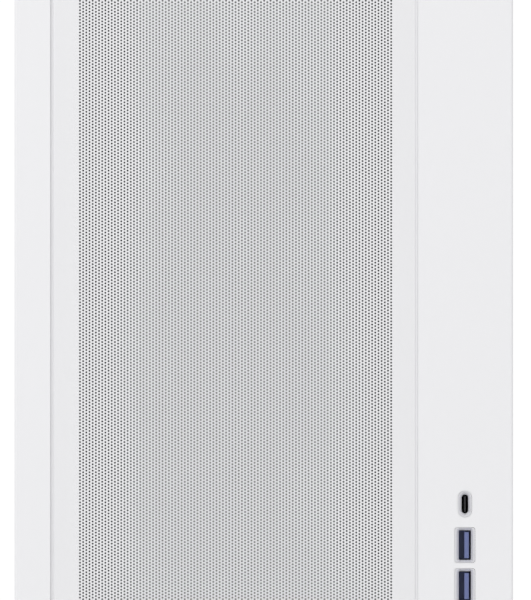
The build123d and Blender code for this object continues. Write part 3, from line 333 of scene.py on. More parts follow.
def woven_netting(name, base, second):
    """Dust filter: threads crossing at right angles along X and a second axis, darker between them."""
    material, tree, surface = new_material(name)
    where = place(tree, "ShaderNodeTexCoord")
    across = place(tree, "ShaderNodeTexWave", wave_type="BANDS", bands_direction="X", Scale=500.0)
    along = place(tree, "ShaderNodeTexWave", wave_type="BANDS", bands_direction=second, Scale=500.0)
    threads = place(tree, "ShaderNodeMath", operation="MAXIMUM")
    tint = place(tree, "ShaderNodeMix", data_type="RGBA", clamp_factor=True)
    tint.inputs["A"].default_value = (*[0.4 * c for c in base], 1.0)
    tint.inputs["B"].default_value = (*base, 1.0)
    relief = place(tree, "ShaderNodeBump", Strength=0.4, Distance=0.0001)
    surface.inputs["Roughness"].default_value = 0.8
    join(tree, (where.outputs["Object"], across.inputs["Vector"]),
         (where.outputs["Object"], along.inputs["Vector"]),
         (across.outputs["Fac"], threads.inputs[0]), (along.outputs["Fac"], threads.inputs[1]),
         (threads.outputs[0], tint.inputs["Factor"]),
         (tint.outputs["Result"], surface.inputs["Base Color"]),
         (threads.outputs[0], relief.inputs["Height"]),
         (relief.outputs["Normal"], surface.inputs["Normal"]))
    return material


def circuit_board():
    """Dark solder mask with fine copper tracks just under it."""
    _, colours, _ = settings()
    material, tree, surface = new_material("circuit_board")
    surface.inputs["Coat Weight"].default_value = 0.35
    where = place(tree, "ShaderNodeTexCoord")
    tracks = place(tree, "ShaderNodeTexBrick", Scale=1.0, offset=0.37, squash=1.0)
    tracks.inputs["Brick Width"].default_value = 0.017
    tracks.inputs["Row Height"].default_value = 0.0016
    tracks.inputs["Mortar Size"].default_value = 0.0002
    turn = place(tree, "ShaderNodeMapping")
    turn.inputs["Rotation"].default_value = (0.0, math.radians(90), 0.0)
    tint = place(tree, "ShaderNodeMix", data_type="RGBA")
    tint.inputs["A"].default_value = (*colours.mask, 1.0)
    tint.inputs["B"].default_value = (*[2.4 * c for c in colours.mask], 1.0)
    vias = place(tree, "ShaderNodeTexVoronoi", Scale=240.0)
    spots = place(tree, "ShaderNodeMath", operation="LESS_THAN")
    spots.inputs[1].default_value = 0.12
    dotted = place(tree, "ShaderNodeMix", data_type="RGBA")
    dotted.inputs["B"].default_value = (0.35, 0.27, 0.12, 1.0)
    surface.inputs["Roughness"].default_value = 0.38
    relief = place(tree, "ShaderNodeBump", Strength=0.25, Distance=0.00005)
    join(tree, (where.outputs["Object"], turn.inputs["Vector"]),
         (turn.outputs["Vector"], tracks.inputs["Vector"]),
         (where.outputs["Object"], vias.inputs["Vector"]),
         (tracks.outputs["Fac"], tint.inputs["Factor"]),
         (vias.outputs["Distance"], spots.inputs[0]), (spots.outputs[0], dotted.inputs["Factor"]),
         (tint.outputs["Result"], dotted.inputs["A"]),
         (dotted.outputs["Result"], surface.inputs["Base Color"]),
         (tracks.outputs["Fac"], relief.inputs["Height"]),
         (relief.outputs["Normal"], surface.inputs["Normal"]))
    return material


def light_pipe():
    """Milky clear ring round the power button."""
    return finish_material("light_pipe", (0.78, 0.84, 0.9), 0.25, tone=0.02, bump=0.05,
                           Coat_Weight=0.4)


def braided_sleeve():
    """Cable sleeve of crossing dark threads."""
    return finish_material("braided_sleeve", (0.02, 0.02, 0.022), 0.6, tone=0.5, drift_scale=400.0,
                           grain_scale=1200.0, peel=0.8, bump=0.6, bump_depth=0.0002)


# ============================ mesh helpers ============================

def link_mesh(name, mesh, material=None):
    """A new object at the origin that shows a mesh."""
    piece = bpy.data.objects.new(name, mesh)
    bpy.context.scene.collection.objects.link(piece)
    if material:
        mesh.materials.clear()
        mesh.materials.append(material)
    return piece


def mesh_of(name, corners, faces):
    """A mesh from points and faces."""
    mesh = bpy.data.meshes.new(name)
    mesh.from_pydata(corners, [], faces)
    return mesh


def written_out(work, mesh, outward=False):
    """Writes the edited faces into the mesh, first turned outward if asked, and ends the edit."""
    if outward:
        bmesh.ops.recalc_face_normals(work, faces=work.faces)
    work.to_mesh(mesh)
    work.free()
    return mesh


def facing_outward(mesh):
    """The same mesh with all its faces turned outward."""
    work = bmesh.new()
    work.from_mesh(mesh)
    return written_out(work, mesh, outward=True)


def smooth_by_angle(mesh, degrees=32.0):
    """Smooth shading with sharp edges where faces meet at more than an angle."""
    mesh.shade_smooth()
    work = bmesh.new()
    work.from_mesh(mesh)
    limit = math.radians(degrees)
    for edge in work.edges:
        edge.smooth = len(edge.link_faces) == 2 and edge.calc_face_angle(0.0) < limit
    written_out(work, mesh)


def cell_mesh(pitch, hole):
    """One cell of a perforated sheet: six faces from a block's outline to a six-sided hole."""
    half = pitch / 2
    outline = [(half, 0), (half, half), (-half, half), (-half, 0), (-half, -half), (half, -half)]
    rim = [(hole / 2 * math.cos(math.radians(60 * i)), hole / 2 * math.sin(math.radians(60 * i)))
           for i in range(6)]
    corners = [(x, y, 0.0) for x, y in outline + rim]
    faces = [(i, (i + 1) % 6, 6 + (i + 1) % 6, 6 + i) for i in range(6)]
    return mesh_of("vent_cell", corners, faces)


def border_mesh(sheet, columns, rows, pitch, first, last):
    """Plain sheet round the holes, for the rows from first up to last.

    sheet is the outline (left, right, low, high) measured from the first hole's centre. Odd columns sit
    half a pitch higher, so half cells fill the steps that they leave at the bottom and the top.
    """
    left, right, low, high = sheet
    half = pitch / 2
    near, far = -half, (columns - 1) * pitch + half
    bottom, top = first * pitch - half, last * pitch - half
    at_bottom, at_top = first == 0, last == rows
    rungs = [bottom + i * half for i in range(2 * (last - first) + 1)]
    if at_top:
        rungs.append(top + half)
    corners, faces = [], []

    def face(points):
        start = len(corners)
        corners.extend((x, y, 0.0) for x, y in points)
        faces.append(tuple(range(start, len(corners))))

    start_low = low if at_bottom else bottom
    start_high = high if at_top else top
    face([(left, start_high), (left, start_low)] + [(near, y) for y in rungs])
    face([(right, start_low), (right, start_high)] + [(far, y) for y in reversed(rungs)])
    sides = [near + i * pitch for i in range(columns + 1)]
    if at_bottom:
        face([(left, low), (right, low)] + [(x, bottom) for x in reversed(sides)])
    if at_top:
        face([(right, high), (left, high)] + [(x, top + half) for x in sides])
    for i in range(columns):
        a, b = sides[i], sides[i + 1]
        if at_bottom and i % 2:
            face([(a, bottom), (b, bottom), (b, bottom + half), (a, bottom + half)])
        if at_top and not i % 2:
            face([(a, top), (b, top), (b, top + half), (a, top + half)])
    return mesh_of("vent_border", corners, faces)


def geometry_group(name, inputs, output):
    """A new geometry node group, the sockets of its inputs and the socket of its output."""
    tree = bpy.data.node_groups.new(name, "GeometryNodeTree")
    for socket, kind in inputs:
        tree.interface.new_socket(name=socket, in_out="INPUT", socket_type="NodeSocket" + kind)
    tree.interface.new_socket(name=output, in_out="OUTPUT", socket_type="NodeSocketGeometry")
    return tree, tree.nodes.new("NodeGroupInput").outputs, tree.nodes.new("NodeGroupOutput").inputs


def perforation_tree():
    """Geometry Nodes: lays cells in staggered columns, welds them to the border, gives thickness."""
    name = "Perforated Sheet"
    if name in bpy.data.node_groups:
        return bpy.data.node_groups[name]
    tree, given, result = geometry_group(
        name,
        (("Cell", "Geometry"), ("Border", "Object"), ("Columns", "Int"), ("Rows", "Int"),
         ("First Row", "Int"), ("Pitch", "Float"), ("Thickness", "Float"), ("Finish", "Material")),
        "Sheet")

    def math_node(operation, *values):
        node = place(tree, "ShaderNodeMath", operation=operation)
        for i, value in enumerate(values):
            if isinstance(value, bpy.types.NodeSocket):
                tree.links.new(value, node.inputs[i])
            else:
                node.inputs[i].default_value = value
        return node.outputs[0]

    pitch = given["Pitch"]
    width = math_node("MULTIPLY", math_node("SUBTRACT", given["Columns"], 1.0), pitch)
    height = math_node("MULTIPLY", math_node("SUBTRACT", given["Rows"], 1.0), pitch)
    grid = place(tree, "GeometryNodeMeshGrid")
    spot = place(tree, "GeometryNodeInputPosition")
    split = place(tree, "ShaderNodeSeparateXYZ")
    from_left = math_node("ADD", split.outputs["X"], math_node("MULTIPLY", width, 0.5))
    column = math_node("ROUND", math_node("DIVIDE", from_left, pitch))
    odd = math_node("MODULO", column, 2.0)
    rise = math_node("ADD", math_node("MULTIPLY", odd, math_node("MULTIPLY", pitch, 0.5)),
                     math_node("ADD", math_node("MULTIPLY", height, 0.5),
                               math_node("MULTIPLY", given["First Row"], pitch)))
    shift = place(tree, "ShaderNodeCombineXYZ")
    move = place(tree, "GeometryNodeSetPosition")
    copies = place(tree, "GeometryNodeInstanceOnPoints")
    laid = place(tree, "GeometryNodeRealizeInstances")
    border = place(tree, "GeometryNodeObjectInfo")
    flat = place(tree, "GeometryNodeJoinGeometry")
    weld = place(tree, "GeometryNodeMergeByDistance", Distance=0.00002)
    thick = place(tree, "GeometryNodeExtrudeMesh", mode="FACES", Individual=False)
    back = place(tree, "GeometryNodeFlipFaces")
    closed = place(tree, "GeometryNodeJoinGeometry")
    seal = place(tree, "GeometryNodeMergeByDistance", Distance=0.00001)
    real = place(tree, "GeometryNodeRealizeInstances")
    paint = place(tree, "GeometryNodeSetMaterial")
    join(tree, (width, grid.inputs["Size X"]), (height, grid.inputs["Size Y"]),
         (given["Columns"], grid.inputs["Vertices X"]),
         (given["Rows"], grid.inputs["Vertices Y"]),
         (spot.outputs["Position"], split.inputs["Vector"]),
         (math_node("MULTIPLY", width, 0.5), shift.inputs["X"]), (rise, shift.inputs["Y"]),
         (grid.outputs["Mesh"], move.inputs["Geometry"]), (shift.outputs[0], move.inputs["Offset"]),
         (move.outputs["Geometry"], copies.inputs["Points"]),
         (given["Cell"], copies.inputs["Instance"]),
         (copies.outputs["Instances"], laid.inputs["Geometry"]),
         (given["Border"], border.inputs["Object"]),
         (laid.outputs["Geometry"], flat.inputs["Geometry"]),
         (border.outputs["Geometry"], flat.inputs["Geometry"]),
         (flat.outputs["Geometry"], weld.inputs["Geometry"]),
         (weld.outputs["Geometry"], thick.inputs["Mesh"]),
         (given["Thickness"], thick.inputs["Offset Scale"]),
         (weld.outputs["Geometry"], back.inputs["Mesh"]),
         (back.outputs["Mesh"], closed.inputs["Geometry"]),
         (thick.outputs["Mesh"], closed.inputs["Geometry"]),
         (closed.outputs["Geometry"], seal.inputs["Geometry"]),
         (seal.outputs["Geometry"], real.inputs["Geometry"]),
         (real.outputs["Geometry"], paint.inputs["Geometry"]),
         (given["Finish"], paint.inputs["Material"]),
         (paint.outputs["Geometry"], result["Sheet"]))
    return tree


def modifier_result(carrier, tree, **values):
    """The plain mesh that a tree makes from an object, which is then removed. Values are by socket name."""
    modifier = carrier.modifiers.new("make", "NODES")
    modifier.node_group = tree
    sockets = {s.name: s.identifier for s in tree.interface.items_tree if s.in_out == "INPUT"}
    for name, value in values.items():
        modifier[sockets[name.replace("_", " ")]] = value
    graph = bpy.context.evaluated_depsgraph_get()
    made = bpy.data.meshes.new_from_object(carrier.evaluated_get(graph))
    carrier.modifiers.remove(modifier)
    bpy.data.objects.remove(carrier)
    return made


def turned_to(facing, origin):
    """The matrix that takes a flat sheet's own directions to its place on the case."""
    across, up, outward = (Vector(v) for v in facing)
    matrix = Matrix((across, up, outward)).transposed().to_4x4()
    matrix.translation = Vector(origin)
    return matrix


def lay_flat_uv(mesh):
    """Unwraps a sheet that lies flat: its outer side in one half of the map, its back in the other."""
    count = len(mesh.loops)
    corner = np.empty(count, dtype=np.int32)
    mesh.loops.foreach_get("vertex_index", corner)
    points = np.empty(3 * len(mesh.vertices), dtype=np.float32)
    mesh.vertices.foreach_get("co", points)
    points = points.reshape(-1, 3)[:, :2]
    points = (points - points.min(axis=0)) / np.ptp(points, axis=0)
    sizes = np.empty(len(mesh.polygons), dtype=np.int32)
    mesh.polygons.foreach_get("loop_total", sizes)
    normals = np.empty(3 * len(mesh.polygons), dtype=np.float32)
    mesh.polygons.foreach_get("normal", normals)
    behind = np.repeat(normals[2::3] < -0.5, sizes)
    margin = 0.01
    spots = points[corner] * (1.0 - 2 * margin) + margin
    spots[:, 0] = spots[:, 0] / 2 + np.where(behind, 0.5, 0.0)
    mesh.uv_layers.new(name="OFBake").data.foreach_set("uv", spots.astype(np.float32).ravel())


def hole_layout(outline, middle, bend, columns, rows, pitch):
    """The first hole's centre, and the flat sheet's edges measured from it."""
    left, right, low, high = outline
    across = middle[0] - (columns - 1) * pitch / 2
    up = middle[1] - (rows - 0.5) * pitch / 2
    return (across, up), (left + bend - across, right - bend - across, low + bend - up, high - bend - up)


def perforated_piece(name, facing, origin, sheet, columns, rows, pitch, hole, material, band=(0, None)):
    """A flat perforated sheet, placed. origin is the first hole's centre on the sheet's back face."""
    first, last = band[0], band[1] or rows
    outline = link_mesh("vent_border", border_mesh(sheet, columns, rows, pitch, first, last))
    carrier = link_mesh("vent_cell", cell_mesh(pitch, hole))
    made = modifier_result(carrier, perforation_tree(), Border=outline, Columns=columns,
                           Rows=last - first, First_Row=first, Pitch=pitch, Thickness=SHEET,
                           Finish=material)
    bpy.data.objects.remove(outline)
    lay_flat_uv(made)
    made.transform(turned_to(facing, origin))
    return link_mesh(name, made)


def rim_profile(depth, bend, thick):
    """Section of a bent edge: (distance in from the outer edge, height from the sheet's back)."""
    steps = 4
    turns = [math.pi / 2 * (1 + i / steps) for i in range(steps + 1)]
    outer = [(bend + bend * math.cos(a), thick - bend + bend * math.sin(a)) for a in turns]
    inner_bend = max(bend - thick, 0.0001)
    inner = [(bend + inner_bend * math.cos(a), thick - bend + inner_bend * math.sin(a)) for a in turns]
    inner = [(max(d, thick), w) for d, w in inner]
    return outer + [(0.0, thick - depth), (thick, thick - depth)] + inner[::-1]


def rim_mesh(outline, profile):
    """A closed frame with the given section, mitred at the corners of the outline."""
    left, right, low, high = outline
    corners, faces = [], []
    for inset, height in profile:
        corners += [(left + inset, low + inset, height), (right - inset, low + inset, height),
                    (right - inset, high - inset, height), (left + inset, high - inset, height)]
    count = len(profile)
    for i in range(count):
        after = (i + 1) % count
        for side in range(4):
            turn = (side + 1) % 4
            faces.append((4 * i + side, 4 * after + side, 4 * after + turn, 4 * i + turn))
    return facing_outward(mesh_of("rim", corners, faces))


def blocks_mesh(boxes, bevel):
    """Blocks between pairs of corners, with their edges rounded."""
    work = bmesh.new()
    for low, high in boxes:
        low, high = Vector(low), Vector(high)
        for corner in bmesh.ops.create_cube(work, size=1.0)["verts"]:
            corner.co = (low + high) / 2 + corner.co * (high - low)
    bmesh.ops.bevel(work, geom=work.edges[:], offset=bevel, segments=2, affect="EDGES")
    return written_out(work, bpy.data.meshes.new("blocks"))


def standing_block(out, half_y, half_z, bevel):
    """A block that stands on a wall facing -X."""
    return blocks_mesh([((-out, -half_y, -half_z), (0.0, half_y, half_z))], bevel)


def turned_mesh(profile, sides=14):
    """A round part that stands on a wall facing -X, from (radius, height) pairs, foot first."""
    corners, faces = [], []
    for radius, height in profile:
        corners += [(-height, radius * math.cos(2 * math.pi * i / sides),
                     radius * math.sin(2 * math.pi * i / sides)) for i in range(sides)]
    for level in range(len(profile) - 1):
        for i in range(sides):
            a, b = level * sides + i, level * sides + (i + 1) % sides
            faces.append((a, b, b + sides, a + sides))
    faces += [tuple(range(sides)), tuple(range((len(profile) - 1) * sides, len(corners)))]
    return facing_outward(mesh_of("turned", corners, faces))


def row_tree():
    """Geometry Nodes: repeats a part along a row of rows, with a small seeded shift of each."""
    name = "Part Rows"
    if name in bpy.data.node_groups:
        return bpy.data.node_groups[name]
    tree, given, result = geometry_group(
        name,
        (("Part", "Geometry"), ("Count", "Int"), ("Start", "Vector"), ("Step", "Vector"),
         ("Lines", "Int"), ("Line Step", "Vector"), ("Wander", "Float"), ("Seed", "Int"),
         ("Finish", "Material")),
        "Parts")
    row = place(tree, "GeometryNodeMeshLine", mode="OFFSET")
    lines = place(tree, "GeometryNodeMeshLine", mode="OFFSET")
    rows = place(tree, "GeometryNodeInstanceOnPoints")
    spread = place(tree, "GeometryNodeRealizeInstances")
    wander = place(tree, "FunctionNodeRandomValue", data_type="FLOAT_VECTOR")
    wander.inputs[0].default_value = (0.0, -1.0, -1.0)
    wander.inputs[1].default_value = (0.0, 1.0, 1.0)
    shift = place(tree, "ShaderNodeVectorMath", operation="SCALE")
    move = place(tree, "GeometryNodeSetPosition")
    copies = place(tree, "GeometryNodeInstanceOnPoints")
    real = place(tree, "GeometryNodeRealizeInstances")
    paint = place(tree, "GeometryNodeSetMaterial")
    join(tree, (given["Count"], row.inputs["Count"]),
         (given["Step"], row.inputs["Offset"]),
         (given["Start"], lines.inputs["Start Location"]),
         (given["Lines"], lines.inputs["Count"]),
         (given["Line Step"], lines.inputs["Offset"]),
         (lines.outputs["Mesh"], rows.inputs["Points"]), (row.outputs["Mesh"], rows.inputs["Instance"]),
         (rows.outputs["Instances"], spread.inputs["Geometry"]),
         (given["Seed"], wander.inputs["Seed"]),
         (wander.outputs[0], shift.inputs[0]), (given["Wander"], shift.inputs["Scale"]),
         (spread.outputs["Geometry"], move.inputs["Geometry"]), (shift.outputs[0], move.inputs["Offset"]),
         (move.outputs["Geometry"], copies.inputs["Points"]),
         (given["Part"], copies.inputs["Instance"]),
         (copies.outputs["Instances"], real.inputs["Geometry"]),
         (real.outputs["Geometry"], paint.inputs["Geometry"]),
         (given["Finish"], paint.inputs["Material"]),
         (paint.outputs["Geometry"], result["Parts"]))
    return tree


def peg_mesh(spots, length_down, radius=2.0 * MM):
    """Round pegs that stand behind a sheet, each with a wider foot and a rounded tip."""
    work = bmesh.new()
    sides = 20
    foot, shaft, tip = 1.9, 1.0, 0.6
    section = ((foot, 0.0), (foot, 0.08), (shaft, 0.12), (shaft, 0.94), (tip, 1.0))
    for x, y in spots:
        rings = []
        for scale, down in section:
            rings.append([work.verts.new((x + radius * scale * math.cos(2 * math.pi * i / sides),
                                          y + radius * scale * math.sin(2 * math.pi * i / sides),
                                          -down * length_down)) for i in range(sides)])
        for upper, lower in zip(rings, rings[1:]):
            for i in range(sides):
                work.faces.new((upper[i], upper[i - 1], lower[i - 1], lower[i]))
        work.faces.new(rings[0])
        work.faces.new(rings[-1][::-1])
    return written_out(work, bpy.data.meshes.new("pegs"), outward=True)


def placed_piece(name, mesh, facing, origin, material, angle=40.0):
    """An object from a flat-lying mesh, turned to its place and smoothed."""
    mesh.transform(turned_to(facing, origin))
    smooth_by_angle(mesh, angle)
    return link_mesh(name, mesh, material)


# ============================ pieces ============================

class TOWER_OT_front_insert(bpy.types.Operator):
    """Make the perforated front insert with its bent edges and push pins"""

    bl_idname = "tower.front_insert"
    bl_label = "Front insert"

    def execute(self, context):
        vents, _, _ = settings()
        low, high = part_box("front_mesh_panel")
        steel = painted_steel()
        bend = 1.0 * MM
        pitch = vents.front_pitch
        columns, rows = vents.front_columns, vents.front_rows
        off_middle = 0.4 * MM
        middle = ((low.x + high.x) / 2 + off_middle, (low.z + high.z) / 2)
        outline = (low.x, high.x, low.z, high.z)
        start, sheet = hole_layout(outline, middle, bend, columns, rows, pitch)
        origin = (start[0], low.y + SHEET, start[1])
        bands = 5
        for i in range(bands):
            band = (rows * i // bands, rows * (i + 1) // bands)
            piece = perforated_piece(f"front_mesh_{i + 1}", FACING_FRONT, origin, sheet, columns, rows,
                                     pitch, vents.front_hole, steel, band)
            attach(piece, "front_insert")
            if i == 0:
                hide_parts("front_mesh_panel")
        back = (0.0, low.y + SHEET, 0.0)
        past_filter = 4.0 * MM
        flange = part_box("front_filter")[1].y - low.y + past_filter
        rim = placed_piece("front_mesh_rim", rim_mesh(outline, rim_profile(flange, bend, SHEET)),
                           FACING_FRONT, back, steel)
        shoulders = self.shoulders(low, high, flange)
        inset = 7.0 * MM
        spots = [(x, z) for x in (low.x + inset, high.x - inset) for z in (low.z + inset, high.z - inset)]
        pins = placed_piece("front_mesh_pins", peg_mesh(spots, high.y - low.y - SHEET), FACING_FRONT,
                            back, steel)
        for piece in (rim, pins, *shoulders):
            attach(piece, "front_insert")
        return {"FINISHED"}

    def shoulders(self, low, high, flange):
        """Steps behind the face's edges that close the gap to the frame, deeper at the left."""
        lap, end_gap, soft_edge = 0.4 * MM, 0.2 * MM, 0.1 * MM
        left_reach, left_down = 0.97 * MM, 0.55 * MM
        right_reach, right_down = 0.57 * MM, 0.22 * MM
        made = []
        for side, inner, outer, down in (("left", low.x + lap, low.x - left_reach, left_down),
                                         ("right", high.x - lap, high.x + right_reach, right_down)):
            corners = ((min(inner, outer), low.y + down, low.z + end_gap),
                       (max(inner, outer), low.y + flange, high.z - end_gap))
            made.append(link_mesh(f"front_mesh_shoulder_{side}", blocks_mesh([corners], soft_edge),
                                  painted_steel()))
        return made


class TOWER_OT_side_panels(bpy.types.Operator):
    """Make both side panels with their vent fields, bent edges and studs"""

    bl_idname = "tower.side_panels"
    bl_label = "Side panels"

    def execute(self, context):
        vents, _, _ = settings()
        steel = painted_steel()
        pitch = vents.side_pitch
        half_field, field_height = 0.36, 0.74
        for node, body, facing in (("left_side_panel", "left_panel", FACING_LEFT),
                                   ("right_side_panel", "right_panel", FACING_RIGHT)):
            low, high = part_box(node)
            sense = facing[0][1]
            outer_x = low.x if sense < 0 else high.x
            back_x = outer_x + SHEET if sense < 0 else outer_x - SHEET
            ends = sorted((sense * low.y, sense * high.y))
            outline = (ends[0], ends[1], low.z, high.z)
            bend = 1.2 * MM
            columns = 2 * int(half_field * (ends[1] - ends[0]) / pitch) + 1
            rows = int(field_height * (high.z - low.z) / pitch)
            middle = ((ends[0] + ends[1]) / 2, (low.z + high.z) / 2)
            start, sheet = hole_layout(outline, middle, bend, columns, rows, pitch)
            piece = perforated_piece(node + "_sheet", facing, (back_x, sense * start[0], start[1]), sheet,
                                     columns, rows, pitch, vents.side_hole, steel)
            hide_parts(node)
            rim = placed_piece(node + "_rim", rim_mesh(outline, rim_profile(7.0 * MM, bend, SHEET)),
                               facing, (back_x, 0.0, 0.0), steel)
            stud_ys = (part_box("case_fan_frames")[0].y + 6.0 * MM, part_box("psu_housing")[1].y - 10.0 * MM)
            low_stud_z, high_stud_z = 40.0 * MM, 345.0 * MM
            spots = [(sense * y, z) for y in stud_ys for z in (low_stud_z, high_stud_z)]
            studs = placed_piece(node + "_studs", peg_mesh(spots, high.x - low.x - SHEET), facing,
                                 (back_x, 0.0, 0.0), steel)
            for part in (piece, rim, studs):
                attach(part, body)
        return {"FINISHED"}


class TOWER_OT_top_cover(bpy.types.Operator):
    """Make the vented top cover with its turned-down edges and pegs"""

    bl_idname = "tower.top_cover"
    bl_label = "Top cover"

    def execute(self, context):
        vents, _, _ = settings()
        steel = painted_steel()
        low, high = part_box("top_cover")
        skirt_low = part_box("top_chassis_plate")[1].z + 0.3 * MM
        pitch = vents.top_pitch
        bend = 1.2 * MM
        half_field, field_depth = 0.35, 0.82
        columns = 2 * int(half_field * (high.x - low.x) / pitch) + 1
        rows = int(field_depth * (high.y - low.y) / pitch)
        middle = (0.0, (low.y + high.y) / 2)
        outline = (low.x, high.x, low.y, high.y)
        start, sheet = hole_layout(outline, middle, bend, columns, rows, pitch)
        back = high.z - SHEET
        piece = perforated_piece("top_cover_sheet", FACING_UP, (start[0], start[1], back), sheet, columns,
                                 rows, pitch, vents.top_hole, steel)
        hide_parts("top_cover")
        rim = placed_piece("top_cover_rim",
                           rim_mesh(outline, rim_profile(high.z - skirt_low, bend, SHEET)),
                           FACING_UP, (0.0, 0.0, back), steel)
        peg_x, front_peg_y, back_peg_y = 80.0 * MM, -165.0 * MM, 195.0 * MM
        spots = [(x, y) for x in (-peg_x, peg_x) for y in (front_peg_y, back_peg_y)]
        pegs = placed_piece("top_cover_pegs", peg_mesh(spots, back - low.z), FACING_UP,
                            (0.0, 0.0, back), steel)
        for part in (piece, rim, pegs):
            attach(part, "top_lid")
        return {"FINISHED"}


class TOWER_OT_rear_contacts(bpy.types.Operator):
    """Make the tongues and contacts inside the rear connectors"""

    bl_idname = "tower.rear_contacts"
    bl_label = "Rear contacts"

    def execute(self, context):
        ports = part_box("rear_io_ports")[1]
        face, mouth = ports.x, ports.y
        root = mouth - 14.0 * MM
        tip = mouth - 1.6 * MM
        usb_x = face - 8.0 * MM
        mouths_apart, usb_heights, half_tongue = 4.0, (314.0 * MM, 292.0 * MM, 244.0 * MM), 5.4 * MM
        tongues = [((usb_x + (dx - 0.2) * MM, root, z - half_tongue),
                    (usb_x + (dx + 1.4) * MM, tip, z + half_tongue))
                   for dx in (-mouths_apart, mouths_apart) for z in usb_heights]
        display_x = face - 4.0 * MM
        display = [((display_x - 0.5 * MM, root, 332.6 * MM), (display_x + 0.7 * MM, tip, 343.4 * MM))]
        contact_x = face - 8.5 * MM + 2.8 * MM
        contact_count, lowest_contact, contact_width = 8, 263.4, 0.4 * MM
        network = [((contact_x, root, z), (contact_x + contact_width, tip, z + contact_width))
                   for z in ((lowest_contact + i) * MM for i in range(contact_count))]
        soft_edge, fine_edge = 0.15 * MM, 0.05 * MM
        for name, boxes, finish, slot, bevel in (
                ("rear_usb_tongues", tongues, blue_moulding(), "blue_plastic", soft_edge),
                ("display_port_tongue", display, dark_plastic(), "dark_plastic", soft_edge),
                ("network_port_contacts", network, brass(), "brass", fine_edge)):
            piece = link_mesh(name, blocks_mesh(boxes, bevel), finish)
            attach(piece, "case")
        return {"FINISHED"}


class TOWER_OT_board_parts(bpy.types.Operator):
    """Make the capacitors, coils and chips on the main board"""

    bl_idname = "tower.board_parts"
    bl_label = "Board parts"

    def execute(self, context):
        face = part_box("motherboard")[0].x
        can = [(r * MM, h * MM) for r, h in ((2.5, 1.0), (2.3, 1.4), (2.5, 1.8), (2.5, 7.2), (2.3, 7.6),
                                             (1.7, 7.6))]
        foot = standing_block(1.0 * MM, 2.7 * MM, 2.7 * MM, 0.3 * MM)
        coil = standing_block(5.5 * MM, 3.4 * MM, 3.4 * MM, 0.6 * MM)
        chip = standing_block(0.9 * MM, 2.6 * MM, 2.2 * MM, 0.15 * MM)
        one_line = (0.0, 0.0, 0.0)
        dark = dark_plastic()
        silver = brushed_aluminium()
        power = dict(Start=(face, 148.0 * MM, 238.0 * MM), Step=(0.0, 0.0, 7.0 * MM), Count=15, Lines=1,
                     Line_Step=one_line, Wander=0.0)
        sound = dict(Start=(face, 152.0 * MM, 126.0 * MM), Step=(0.0, 0.0, 9.0 * MM), Count=5, Lines=2,
                     Line_Step=(0.0, 9.0 * MM, 4.0 * MM), Wander=0.3 * MM)
        coils = dict(Start=(face, 100.0 * MM, 322.0 * MM), Step=(0.0, 8.5 * MM, 0.0), Count=5, Lines=1,
                     Line_Step=one_line, Wander=0.0)
        chips = dict(Start=(face, -9.0 * MM, 196.0 * MM), Step=(0.0, 0.0, 11.0 * MM), Count=13, Lines=2,
                     Line_Step=(0.0, 11.0 * MM, 3.0 * MM), Wander=1.2 * MM)
        for name, part, finish, rows, seed, slot in (
                ("power_capacitor_cans", turned_mesh(can), silver, power, 3, "aluminium"),
                ("power_capacitor_feet", foot, dark, power, 3, "dark_plastic"),
                ("sound_capacitor_cans", turned_mesh(can), silver, sound, 5, "aluminium"),
                ("sound_capacitor_feet", foot.copy(), dark, sound, 5, "dark_plastic"),
                ("power_coils", coil, dark_plastic("coil_moulding", (0.09, 0.09, 0.095), 0.45), coils, 7,
                 "grey_plastic"),
                ("board_chips", chip, dark, chips, 11, "dark_plastic")):
            made = modifier_result(link_mesh(name, part), row_tree(), Seed=seed, Finish=finish, **rows)
            smooth_by_angle(made)
            piece = link_mesh(name, made)
            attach(piece, "case")
        return {"FINISHED"}


class TOWER_OT_finishes(bpy.types.Operator):
    """Give every carried piece its finish"""

    bl_idname = "tower.finishes"
    bl_label = "Finishes"

    def execute(self, context):
        _, colours, _ = settings()
        finishes = {
            "white_plastic": shell_plastic(),
            "white_steel": painted_steel(),
            "filter_mesh": woven_netting("filter_netting", colours.netting, "Z"),
            "dark_plastic": dark_plastic(),
            "grey_plastic": dark_plastic("rotor_plastic", colours.blade, 0.4),
            "rubber": rubber(),
            "black_steel": finish_material("black_coat", (0.02, 0.02, 0.022), 0.5, tone=0.2,
                                           grain_scale=1100.0, peel=0.8, bump=0.35),
            "bright_metal": plated_metal("plated_steel", colours.steel_plate, 0.34),
            "brass": brass(),
            "copper": plated_metal("copper", colours.copper, 0.26),
            "aluminium": brushed_aluminium(),
            "circuit_board": circuit_board(),
            "blue_plastic": blue_moulding(),
            "light_ring": light_pipe(),
            "cable_sleeve": braided_sleeve(),
        }
        special = {"base_filter": woven_netting("base_netting", colours.dark, "Y"),
                   "usb_shells": plated_metal("nickel_plate", colours.nickel, 0.3)}
        for entry in frame["record"]["subparts"]:
            piece = NODES[entry["node"]]
            piece.data.materials.clear()
            piece.data.materials.append(special.get(entry["node"], finishes[entry["material_slot"]]))
        return {"FINISHED"}


